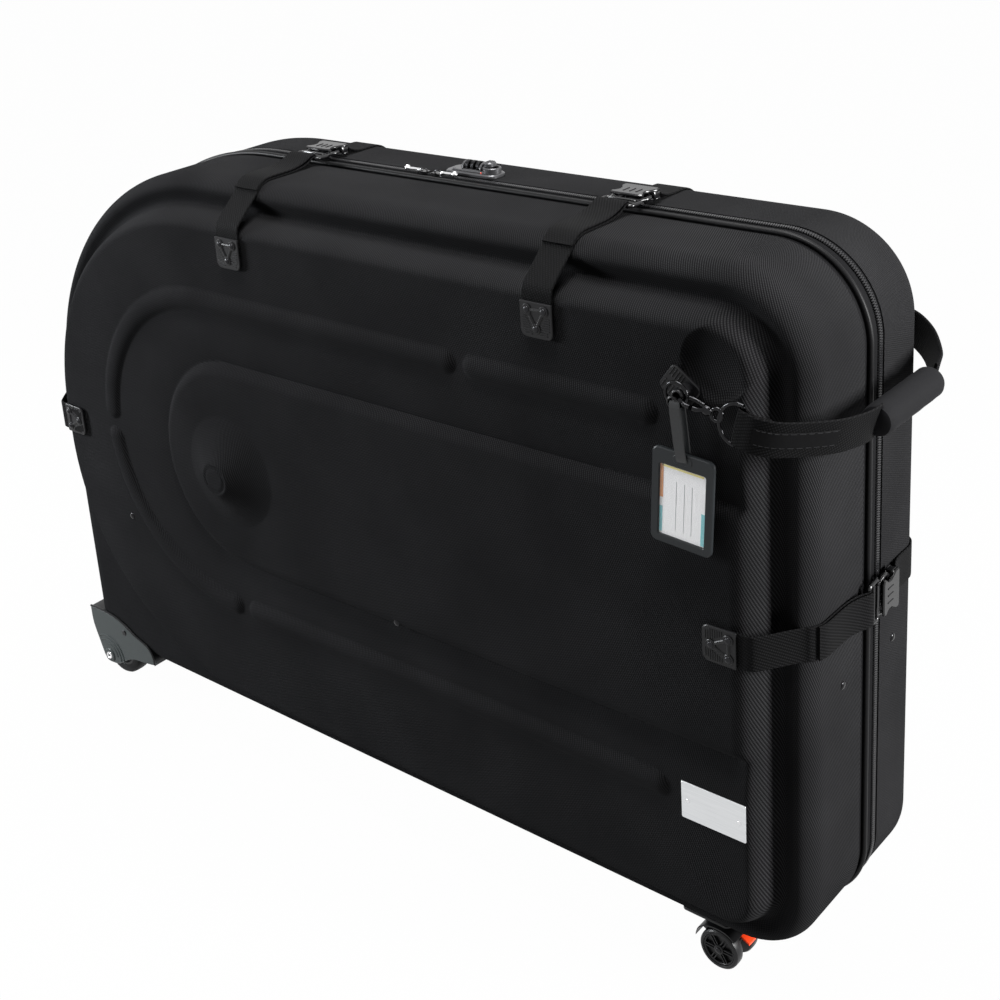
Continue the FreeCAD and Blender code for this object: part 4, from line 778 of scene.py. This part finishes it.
# Carrying handle, drawn level and turned down about the loop that it hangs on.
LOOP_X, LOOP_Y, LOOP_Z = 479, -158, 701
HANDLE = upright(LOOP_X, 0, LOOP_Z) @ turned(14, "Y")
BAND = axes(HANDLE, (0, 0, 0), Z, X, Y)
GRIP_X = 149
GRIP_RADIUS = 16
band_path = curve([(67.5, -162.2), (74, -162.6), (86, -161.6), (104, -150.5), (124, -123.5), (139, -96),
                   (146.4, -72), (GRIP_X, -56), (GRIP_X, -44)], 12)
handle_band = Builder(BAND)
handle_band.ribbon(band_path, STRAP_WIDTH, STRAP_THICKNESS)
handle_band.ribbon(curve([(67.5, -153.8), (74, -157.4), (82, -159.2), (96, -153.6)], 8), 37.4, 2.4)
handle_band.ribbon(curve([(67.5, -162.2), (65, -158), (67.5, -153.8)], 8), 37.4, 1.6)
handle_band.make("handle_band", "webbing", "handle", "handle_webbing")
label_path = np.array([spot for spot in band_path if 84 < spot[0] < 138])
label_out = -line_normals(label_path)
patch = Builder(BAND)
patch.ribbon(label_path + label_out * 1.6, 17, 1.2)
patch.make("handle_label", "label_black", "handle")
stitches = Builder(BAND)
seam_path = label_path + label_out * 2.25
for across in (-7.4, 7.4):
    for k in range(2, len(seam_path) - 3, 3):
        stitches.tube([(across, *seam_path[k]), (across, *seam_path[k + 2])], 0.35, 6)
stitches.make("handle_label_stitches", "thread", "handle")
grip = Builder(HANDLE)
grip_profile = [(6.5, -48.6), (11.5, -48.4), (14.6, -46.8), (GRIP_RADIUS, -43)]
grip_profile += [(GRIP_RADIUS + 0.15 * sin(k * 2.1), -43 + 106 * k / 12) for k in range(1, 12)]
grip_profile += [(GRIP_RADIUS, 63), (14.6, 66.8), (11.5, 68.3), (6.5, 68.5)]
grip.lathe(grip_profile, (GRIP_X, 0, 0), Y, 40)
grip_piece = grip.make("handle_foam_grip", "foam", "handle", "handle_grip")
tail_band = Builder(BAND)
tail_path = [(GRIP_X, 69.6), (148.6, 76), (141, 98), (118, 132), (98, 150), (80, 157.6), (50, 158.4),
             (-12, 158.4)]
tail_band.ribbon(curve(tail_path, 12), STRAP_WIDTH, 3)
tail_band.make("handle_tail_band", "webbing", "tail", "handle_tail")
tail_rivet = Builder(upright(LOOP_X, 0, LOOP_Z))
tail_rivet.rod((0, FACE_DEPTH, 0), (0, 156, 0), 6)
tail_rivet.dome((0, 160, 0), Y, 6.5, 2.6)
tail_rivet.make("handle_back_rivet", "dark_metal", "back_half")

# Hook, ring and loop of the handle, cast in dark metal, on a ribbed plate.
hook_plate = Builder(outward(473, -FACE_DEPTH, LOOP_Z) @ turned(-36, "Z"))
hook_plate.slab(rounded(38, 31, 6), 0, 3.4, 0.9)
for side in (-1, 1):
    for count in range(5):
        hook_plate.strip((-15.5 + count * 3.4, side * 8.2, 3.6), (1.3, 10.5, 1.4), 0.4)
hook_plate.block((7, 0, 6), (13, 13, 9), 2)
for side in (-1, 1):
    hook_plate.lathe([(7.2, 0), (7.2, 16), (6.2, 18), (5, 18.6), (4.2, 18), (4.2, 0)], (7, side * 4.4, 3),
                     sides=24)
hook_plate.make("hook_plate", "black_plastic", "front_half", "hook_anchor")
loop_wire = Builder(outward(LOOP_X, LOOP_Y, LOOP_Z))
loop_wire.tube([(a, b, 0) for a, b in circle(12)], 1.7, closed=True)
loop_wire.make("hook_ring", "gunmetal", "front_half", "hook_loop")
LINK = HANDLE @ Matrix.Translation((0, LOOP_Y, 0))
hook = Builder(LINK)
hook_bend = [(26, 5.4), (19, 6.4), (11.5, 5.2), (7.6, 1.2), (7.4, -3), (8.6, -6.4)]
hook_back = [(23.6, -8.2), (27, -7.4), (30, -5), (33, 0), (30, 4.4), (25, 5.6)]
for line, radius in ((hook_bend, 2.3), (hook_back, 2.5)):
    hook.tube(curve([(a, b, 0) for a, b in line], 8), radius)
hook.lathe([(1, 31), (4.6, 31), (5.2, 32.4), (5.2, 36), (4.2, 37.2), (3.4, 38), (3.4, 40), (1, 40.4)],
           axis=X, sides=28)
hook.tube([(44.6 + 5.6 * a, 0, 6.4 * b) for a, b in circle(1, 32)], 2, closed=True)
hook.make("snap_hook_body", "gunmetal", "handle", "snap_hook")
d_ring = Builder(LINK)
d_ends = [(68.5, 0, -21), (68.5, 0, 21)]
d_bow = [(66 - 18.5 * cos(a), 0, 21 * sin(a)) for a in np.linspace(-1.4, 1.4, 25)]
d_ring.tube(d_ends[:1] + d_bow + d_ends[1:], 2.1)
d_ring.rod(*d_ends, 2.1)
d_ring.make("handle_d_ring", "gunmetal", "handle", "handle_ring")

# Luggage tag: a moulded frame with a window, a ruled card and a strap of its own.
TAG_SLOT = Vector((0, 42.8, 0))
TAG_TILT = Matrix.Translation(TAG_SLOT) @ turned(-3.5, "Z") @ Matrix.Translation(-TAG_SLOT)
TAG = outward(485.5, LOOP_Y, 593) @ TAG_TILT
tag_inner = rounded(51, 75, 2.5) + (0, -4)
tag_frame = Builder(TAG)
tag_frame.frame_slab(rounded(68, 100, 7), tag_inner, -2.4, 2.4, 0.9)
tag_frame.slab(rounded(60, 90, 5), -2.2, -0.6, 0.3)
tag_frame.slab(rounded(21, 8.5, 3.5) + (0, 42.8), 2, 2.9, 0.4)
tag_frame.make("tag_holder", "tag_plastic", "tag", "tag_frame")
CARD_PARTS = [
    ("paper", "card_white", (0, -4, 0.2), (50.6, 74.6, 0.5), "tag_card"),
    ("band_orange", "card_orange", (-23.4, 15, 0.55), (3.6, 35, 0.3)),
    ("band_teal_left", "card_teal", (-23.6, -25.4, 0.55), (3.2, 27, 0.3)),
    ("band_teal_right", "card_teal", (23.2, -23.4, 0.55), (4, 34, 0.3)),
    ("band_yellow", "card_yellow", (0, 31.6, 0.55), (46, 2.2, 0.3)),
]
for title, finish, centre, size, *replaced in CARD_PARTS:
    card = Builder(TAG)
    card.strip(centre, size, 0.1)
    card.make(f"tag_{title}", finish, "tag", *replaced)
lines = Builder(TAG)
for across in (-7, 2, 10.5):
    lines.strip((across, -8, 0.5), (0.45, 52, 0.2), 0.05)
lines.make("tag_lines", "card_ink", "tag")
film = Builder(TAG)
film.slab(tag_inner, 0.9, 1.3, 0.1)
film.make("tag_window", "clear_film", "tag")
tag_strap = Builder(upright(LOOP_X, LOOP_Y, 695) @ turned(-6, "Y"))
tag_side = [(3, -60.4), (4.2, -54), (4.9, -40), (5, -11), (4.4, -4.2), (2.6, -0.4)]
tag_path = tag_side + [(0, 0.6)] + [(-a, b) for a, b in reversed(tag_side)]
tag_strap.ribbon(curve(tag_path), 12, 1.6)
tag_strap.make("tag_loop", "strap_gloss", "tag", "tag_strap")

# Combination lock, zip sliders and pulls.
LOCK_X, LOCK_Y = 74, 48
LOCK = upright(LOCK_X, LOCK_Y, TOP_Z)
DIAL_PITCH = 8
BUTTON_MIDDLE = (25.2, 0)
lock = Builder(LOCK)
lock.slab(rounded(74, 28, 9), 0, 5, 1.3)
lock.slab(rounded(64, 20, 8), 4.6, 6.8, 1)
for side in (-1, 1):
    lock.lathe(collar(2, 7.8, 1.5, 0.6, 0.6), (side * 13.2, 0, 7.6), X, 40)
    lock.rod((-12, side * 7, 6), (12, side * 7, 6), 1.5)
lock.frame_slab(rounded(22, 19.5, 9.5) + BUTTON_MIDDLE,
                rounded(17.6, 15, 7.3) + BUTTON_MIDDLE, 4.5, 11.8, 0.9)
for side in (-1, 1):
    lock.dome((-26, side * 7, 6.4), Z, 2.2, 1.1)
lock.make("lock_case", "lock_grey", "back_half", "lock_body")
mark = Builder(LOCK)
mark.block((16.6, -9, 5.6), (2.2, 2.2, 1.4), 0.3)
mark.make("lock_mark", "brake_orange", "back_half", slot="lock_grey")
for count in range(3):
    dial = Builder(axes(CASE, (LOCK_X + DIAL_PITCH * (count - 1), LOCK_Y, 823.45), Z, X, Y))
    dial.lathe(collar(2.2, 6.3, 2.4, 0.5, 0.5), axis=Y, sides=40)
    for tooth in range(10):
        angle = 2 * pi * tooth / 10
        dial.strip((6.2 * cos(angle), 0, 6.2 * sin(angle)), (0.7, 4, 1.3), 0.2,
                   Matrix.Rotation(-angle, 4, "Y"))
    dial.make(f"lock_dial_ring_{count + 1}", "dark_metal", f"dial_{count + 1}", f"lock_dial_{count + 1}")
button = Builder(LOCK)
button.slab(rounded(12, 14, 5) + (23, 0), 11.6, 17.6, 1.3)
for count in range(3):
    button.strip((20 + 3 * count, 0, 17.8), (0.9, 9, 0.9), 0.3)
button.make("lock_slide", "lock_grey", "button", "lock_button")
SLIDER_NOSE = [(-8, 3.4), (-8, -3.4), (-3, -5.2), (6, -5.2), (8, -3.6), (8, -1.2), (5.4, 0), (8, 1.2),
               (8, 3.6), (6, 5.2), (-3, 5.2)]
PULL_TAB = [(3, 2.2), (3, -2.2), (12, -3), (18, -2.4), (18, 2.4), (12, 3)]
PULL_KNOB = [(0.3, -3.6), (2.2, -3), (3.5, -1.4), (3.9, 0), (3.5, 1.4), (2.2, 3), (0.3, 3.6)]
for side, title, slider_x in ((-1, "left", 13), (1, "right", 35)):
    across, along = X * side, Y * side
    slider = Builder(axes(CASE, (slider_x, ZIP_LINE, TOP_Z), across, along, Z))
    slider.slab(SLIDER_NOSE, -1.2, 0.6, 0.4)
    slider.slab(SLIDER_NOSE, 1, 2.6, 0.5)
    slider.tube(curve([(-5, 0, 2.4), (-4, 0, 4.4), (0, 0, 5.2), (4, 0, 4.4), (5, 0, 2.4)], 6), 0.8, 8)
    slider.make(f"zip_slider_body_{title}", "gunmetal", f"slider_{title}", f"zip_slider_{title}")
    pull = Builder(axes(CASE, (slider_x + 4 * side, ZIP_LINE, TOP_Z + 3.3), across, along, Z))
    pull.tube([(a + 1.4, b, 0) for a, b in rounded(4.4, 5.6, 2.1, 4)], 0.8, 8, closed=True)
    pull.slab(PULL_TAB, -0.9, 0.9, 0.5)
    pull.lathe(PULL_KNOB, (21.5, 0, 0), X, 20)
    pull.make(f"zip_pull_tab_{title}", "bright_metal", f"pull_{title}", f"zip_pull_{title}")

# Badge: a bare plate of brushed metal, held by two rivets.
BADGE = outward(498, -FACE_DEPTH, 241)
badge = Builder(BADGE)
badge.slab(rounded(76, 44, 1.5), 0, 1.5, 0.4)
badge.make("badge_plate", "brushed_metal", "front_half", "badge")
badge_rivets = Builder(BADGE)
for side in (-1, 1):
    badge_rivets.dome((side * 30.4, 0, 1.5), Z, 2.3, 1)
badge_rivets.make("badge_rivets", "bright_metal", "front_half", slot="gunmetal")

# Wheels in their corner housings. The cheeks follow the roof, and are cut back round the tyre.
WHEEL_X, WHEEL_Z = -568, 40
HOUSING_WIDTH = 64
ROOF = [(-600, 112), (-588, 113), (-570, 113), (-552, 111.5), (-536, 108.5), (-523, 104), (-512, 98.5),
        (-500, 93), (-486, 88.5), (-475, 84.5), (-468, 79), (-464, 72), (-462, 64), (-463, 58.5)]
FOOT = [(-472, 56.5), (-490, 54), (-508, 51.5), (-522, 47)]
CHEEK_EDGE = [(-531, 42), (-540, 36), (-549, 31), (-558, 28.2), (-568, 27.4), (-577, 30), (-582.5, 36),
              (-586, 46), (-590, 58), (-595, 72), (-599, 86), (-600, 98)]
TYRE = [(27, -11), (33, -12), (37.4, -11.2), (39.4, -8.6), (40, -4), (40, 4), (39.4, 8.6), (37.4, 11.2),
        (33, 12), (27, 11), (27, -11)]
WHEEL_RIM = [(23.5, -10.4), (27, -10.4), (27, 10.4), (23.5, 10.4), (22.5, 2), (22.5, -2), (23.5, -10.4)]
BOLT_HEAD = [(2.4, -1), (5.4, -1), (5.8, 0.4), (5.2, 1.8), (3.6, 2.2), (2.4, 1), (2.4, -1)]
CHEEK_ARCS = ((33, -8, 128, 24), (26, -8, 128, 24), (19, 8, 110, 18))
for side, title, extra in HALVES:
    near = side * (52 + extra)
    body = f"{title}_half"
    housing = Builder(outward(0, near, 0, side))
    cheek = curve(ROOF + FOOT, 4).tolist() + CHEEK_EDGE
    for low, high in ((0.4, 6), (56, HOUSING_WIDTH)):
        housing.slab(cheek, low, high, 1.4)
    for radius, start, end, count in CHEEK_ARCS:
        sweep = np.radians(np.linspace(start, end, count))
        housing.tube([(WHEEL_X + radius * cos(a), WHEEL_Z + radius * sin(a), 63.8) for a in sweep], 1.2, 8)
    housing.lathe([(0.4, 65.8), (9.6, 65.6), (11, 64.4), (11, 60)], (WHEEL_X, WHEEL_Z, 0))
    housing.make(f"{title}_housing_shell", "grey_plastic", body, f"{title}_wheel_housing", sharp=30)
    # A black tube along the roof's outer edge, and black sheets along the roof and 8 mm inside it, drawn as
    # the dark line along the housing's top.
    roof = curve(ROOF, 6)
    roof_black = Builder(outward(0, near, 0, side))
    roof_black.tube([(a, b + 0.6, 62.6) for a, b in roof], 1.6, 8)
    for line in (roof, roof * (0.985, 1) - (8.4, 3.2)):
        roof_black.grid([[(a, b, 2), (a, b, 62)] for a, b in line])
    roof_black.make(f"{title}_housing_roof_black", "black_plastic", body)
    bolt = Builder(outward(WHEEL_X, near, WHEEL_Z, side))
    for end in (-1, 65):
        bolt.lathe(BOLT_HEAD, (0, 0, end), sides=28)
    bolt.rod((0, 0, 0), (0, 0, HOUSING_WIDTH), 4)
    bolt.make(f"{title}_wheel_bolt", "bright_metal", body, f"{title}_wheel_axle")
    screw = Builder(outward(-524, near, 92, side))
    screw.lathe([(4.4, 63), (4.4, 64.6), (3.8, 65.2), (0.4, 65.2)], sides=24)
    screw.strip((0, 0, 65.3), (6.6, 1.1, 0.5), 0.1, Matrix.Rotation(0.7, 4, "Z"))
    screw.make(f"{title}_housing_screw", "dark_metal", body)
    wheel_frame = outward(WHEEL_X, near + side * HOUSING_WIDTH / 2, WHEEL_Z, 1)
    tyre = Builder(wheel_frame)
    tyre.lathe(TYRE, sides=72)
    tyre.make(f"{title}_tyre", "rubber", f"{title}_wheel", f"{title}_wheel_tyre")
    hub = Builder(wheel_frame)
    hub.lathe(WHEEL_RIM, sides=56)
    hub.lathe(collar(4.4, 9, 12, 1, 2), sides=32)
    for spoke in range(6):
        turn = turned(60 * spoke, "Z")
        hub.block(turn @ Vector((15.6, 0, 0)), (16, 4.4, 15), 1.2, turn)
    hub.make(f"{title}_wheel_core", "wheel_plastic", f"{title}_wheel", f"{title}_wheel_hub")

# Casters: a plate, a forked arm, two spoked wheels and a brake tab.
AXLE_X, AXLE_Z = 473, 24
HOOD = curve([(-29, 8), (-27.5, 14), (-24.5, 19.4), (-17.5, 24.6), (-8, 27.2), (3, 27.5), (12, 25),
              (19.6, 19.8)], 6)
HOOD_HALF = 22
HOOD_WALL = 1.8
WEB = HOOD.tolist() + [(16, 10), (10, -6), (6, -9.6), (0, -11.4), (-6, -9.6), (-11, -4), (-20, 2)]
CASTER_WHEEL = [(19.6, -7), (22.6, -6.6), (23.8, -4.6), (24, -1), (24, 3), (23.6, 5.4), (22.2, 6.8),
                (20.2, 7), (19.2, 6.2), (19, 2.6), (3.2, 2.6), (3.2, -7), (19.6, -7)]
CASTER_RIM = [(17, 2.4), (17, 5.2), (17.6, 5.9), (18.6, 5.9), (19.2, 5.2), (19.2, 2.4), (17, 2.4)]
CASTER_BOSS = [(3.2, 2.4), (3.2, 6.4), (3.8, 7), (5.4, 6.6), (6, 5.6), (6, 2.4), (3.2, 2.4)]
for side, title, extra in HALVES:
    stem_y = side * (CASTER_DEPTH + extra)
    plate = Builder(upright(CASTER_X, stem_y, CASTER_PLATE_Z))
    plate.slab(rounded(60, 40, 6), 0, 4, 0.9)
    plate.lathe([(16, 0.4), (16, -1.2), (14.6, -2.4), (7, -2.4)], sides=40)
    plate.make(f"{title}_caster_base", "black_plastic", f"{title}_half", f"{title}_caster_plate")
    arm = Builder(outward(AXLE_X, stem_y, AXLE_Z))
    for low, high in ((-8, -4.6), (4.6, 8)):
        arm.slab(WEB, low, high, 0.8)
    for drop in (0, HOOD_WALL):
        arm.grid([[(a, b - drop, -HOOD_HALF), (a, b - drop, HOOD_HALF)] for a, b in HOOD])
    for end in (-HOOD_HALF, HOOD_HALF):
        arm.grid([[(a, b, end), (a, b - HOOD_WALL, end)] for a, b in HOOD])
    arm.lathe([(4.4, -9), (8.4, -9), (8.4, 9), (4.4, 9), (4.4, -9)], sides=32)
    arm.rod((-18, 20, 0), (-18, 31.6, 0), 12.5, 40)
    arm.make(f"{title}_caster_arm", "black_plastic", f"{title}_caster", f"{title}_caster_fork")
    pin = Builder(outward(AXLE_X, stem_y, AXLE_Z))
    pin.rod((0, 0, -23.6), (0, 0, 23.6), 3)
    for end in (-1, 1):
        pin.dome((0, 0, end * 23), Z * end, 3.6, 1.4)
    pin.make(f"{title}_caster_pin", "dark_metal", f"{title}_caster", f"{title}_caster_axle")
    for place, face in (("outer", side), ("inner", -side)):
        name = f"{title}_caster_wheel_{place}"
        wheel = Builder(outward(AXLE_X, stem_y + face * 15.5, AXLE_Z, face))
        for profile, sides in ((CASTER_WHEEL, 64), (CASTER_RIM, 64), (CASTER_BOSS, 32)):
            wheel.lathe(profile, sides=sides)
        for spoke in range(6):
            turn = turned(60 * spoke, "Z")
            for shift in (-1.7, 1.7):
                wheel.block(turn @ Vector((11.4, shift, 4)), (12.8, 1.5, 3.6), 0.5, turn)
        wheel.make(f"{name}_spoked", "wheel_plastic", name, name)
    tab = Builder(axes(CASE, (480.6, stem_y, 37.2), Y, X, Z))
    rows = []
    for along in np.linspace(0, 1, 12):
        half = 4.2 + 2.8 * along
        section = [(-half, -1.1), (-half, 0.6), (-half + 0.8, 1.3)]
        section += [(-across, up) for across, up in reversed(section)]
        rows.append([(across, 22 * along, 2.3 - 4.6 * along ** 2 + up) for across, up in section])
    tab.grid(rows, wrap=True, caps=True)
    for count in range(3):
        tab.strip((0, 12 + 3.2 * count, 1.2 - 1.15 * count), (8, 1, 1), 0.3)
    tab.make(f"{title}_brake_pedal", "brake_orange", f"{title}_brake", f"{title}_brake_tab")

# Inner tie straps, and the cloth hinge along the bottom.
TIE = [(-449, 132.8), (-300, 132.5), (-176, 132.2), (-40, 132.5), (97, 132.8)]
for side, title, extra in HALVES:
    tie = Builder(axes(CASE, (0, 0, SHELL_RIVET_Z), Z, X, Y))
    tie.ribbon(curve([(x, side * depth) for x, depth in TIE]), 25, 1.8)
    tie.make(f"{title}_tie_strap", "webbing", f"{title}_half", f"{title}_inner_strap")
hinge_x, hinge_y = np.meshgrid(np.linspace(-HINGE_HALF, HINGE_HALF, 120), np.linspace(-13, 67, 41))
sag = 0.5 * np.cos(pi * np.clip((hinge_y - ZIP_LINE) / 12, -1, 1)) + 0.5
hinge_points = np.stack([MIDDLE_X + hinge_x * MM, hinge_y * MM, (57.4 - 0.6 * sag) * MM], axis=-1)
hinge_mesh = grid_mesh("hinge_cloth", hinge_points, np.stack([hinge_x, hinge_y], axis=-1) * MM)
hinge_cloth = to_object("hinge_cloth", hinge_mesh, "zip_tape", None, "hinge_cloth_front", "hinge_cloth_back",
                        slot="webbing", sharp=60)
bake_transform(hinge_cloth)

# Materials of the frame's own pieces.
slot_finishes = {}
for name, slot in SLOTS.items():
    slot_finishes.setdefault(slot, FINISHES[name])
for subpart in frame["record"]["subparts"]:
    item = frame["nodes"][subpart["node"]]
    item.data.materials.clear()
    item.data.materials.append(slot_finishes[subpart["material_slot"]])


# Floor, light and camera.
def seen_directly(tree, strength):
    """That strength for rays from the camera and those that metal or glass sends on, 0 for the rest."""
    rays = tree.nodes.new("ShaderNodeLightPath").outputs
    mirrored = arithmetic(tree, "MAXIMUM", rays["Is Glossy Ray"], rays["Is Transmission Ray"])
    seen = arithmetic(tree, "MAXIMUM", rays["Is Camera Ray"], mirrored)
    return arithmetic(tree, "MULTIPLY", seen, strength)


FLOOR_GLOW = 0.985
SKY_LIGHT = 0.07
floor_tree, floor_shader = new_finish("floor_white", None)
floor_looks = {"Base Color": (0.35, 0.35, 0.35, 1), "Roughness": 0.9, "Specular IOR Level": 0}
fill(floor_tree, floor_shader, floor_looks)
glow = output(floor_tree, "Emission", "Emission", {})
shares = {"Fac": seen_directly(floor_tree, FLOOR_GLOW), 1: floor_shader.outputs["BSDF"], 2: glow}
surface = output(floor_tree, "MixShader", "Shader", shares)
fill(floor_tree, floor_tree.nodes["Material Output"], {"Surface": surface})
floor_mesh = bpy.data.meshes.new("floor")
floor_mesh.from_pydata([(-8, -8, 0), (8, -8, 0), (8, 8, 0), (-8, 8, 0)], [], [(0, 1, 2, 3)])
floor_mesh.materials.append(FINISHES["floor_white"])
floor = add_object("floor", floor_mesh)

world = bpy.data.worlds.new("studio")
bpy.context.scene.world = world
world.use_nodes = True
sky_tree = world.node_tree
strength = arithmetic(sky_tree, "ADD", seen_directly(sky_tree, 1 - SKY_LIGHT), SKY_LIGHT)
fill(sky_tree, sky_tree.nodes["Background"], {"Color": (1, 1, 1, 1), "Strength": strength})


def area_light(name, place, target, width, height, power, colour=(1, 1, 1)):
    lamp = bpy.data.lights.new(name, "AREA")
    lamp.shape = "RECTANGLE"
    lamp.size = width
    lamp.size_y = height
    lamp.energy = power
    lamp.color = colour
    item = add_object(name, lamp)
    item.location = place
    item.rotation_euler = (Vector(target) - Vector(place)).to_track_quat("-Z", "Y").to_euler()


area_light("top", (0.2, 0.2, 2.9), (0.1, 0, 0.5), 1.8, 0.6, 62)
area_light("front_top", (0.1, -0.6, 2.7), (0, -0.1, 0.5), 0.8, 0.3, 32)
area_light("right", (2.85, 0.75, 1.2), (0.5, 0, 0.45), 0.6, 1.1, 180)
area_light("left", (-1.8, -1.1, 1.1), (-0.42, 0, 0.45), 0.6, 0.6, 58, (0.94, 0.97, 1))

lens = bpy.data.cameras.new("camera")
lens.sensor_width = 36
lens.lens = 56.85
lens.shift_x = 0.025
lens.shift_y = -0.21
lens.dof.use_dof = False
camera = add_object("camera", lens)
camera.location = (MIDDLE_X + 1.2328, -1.2812, 1.2703)
camera.rotation_euler = (radians(71.24), radians(3.87), radians(40.1))
bpy.context.scene.camera = camera
bpy.context.scene.view_settings.view_transform = "Standard"
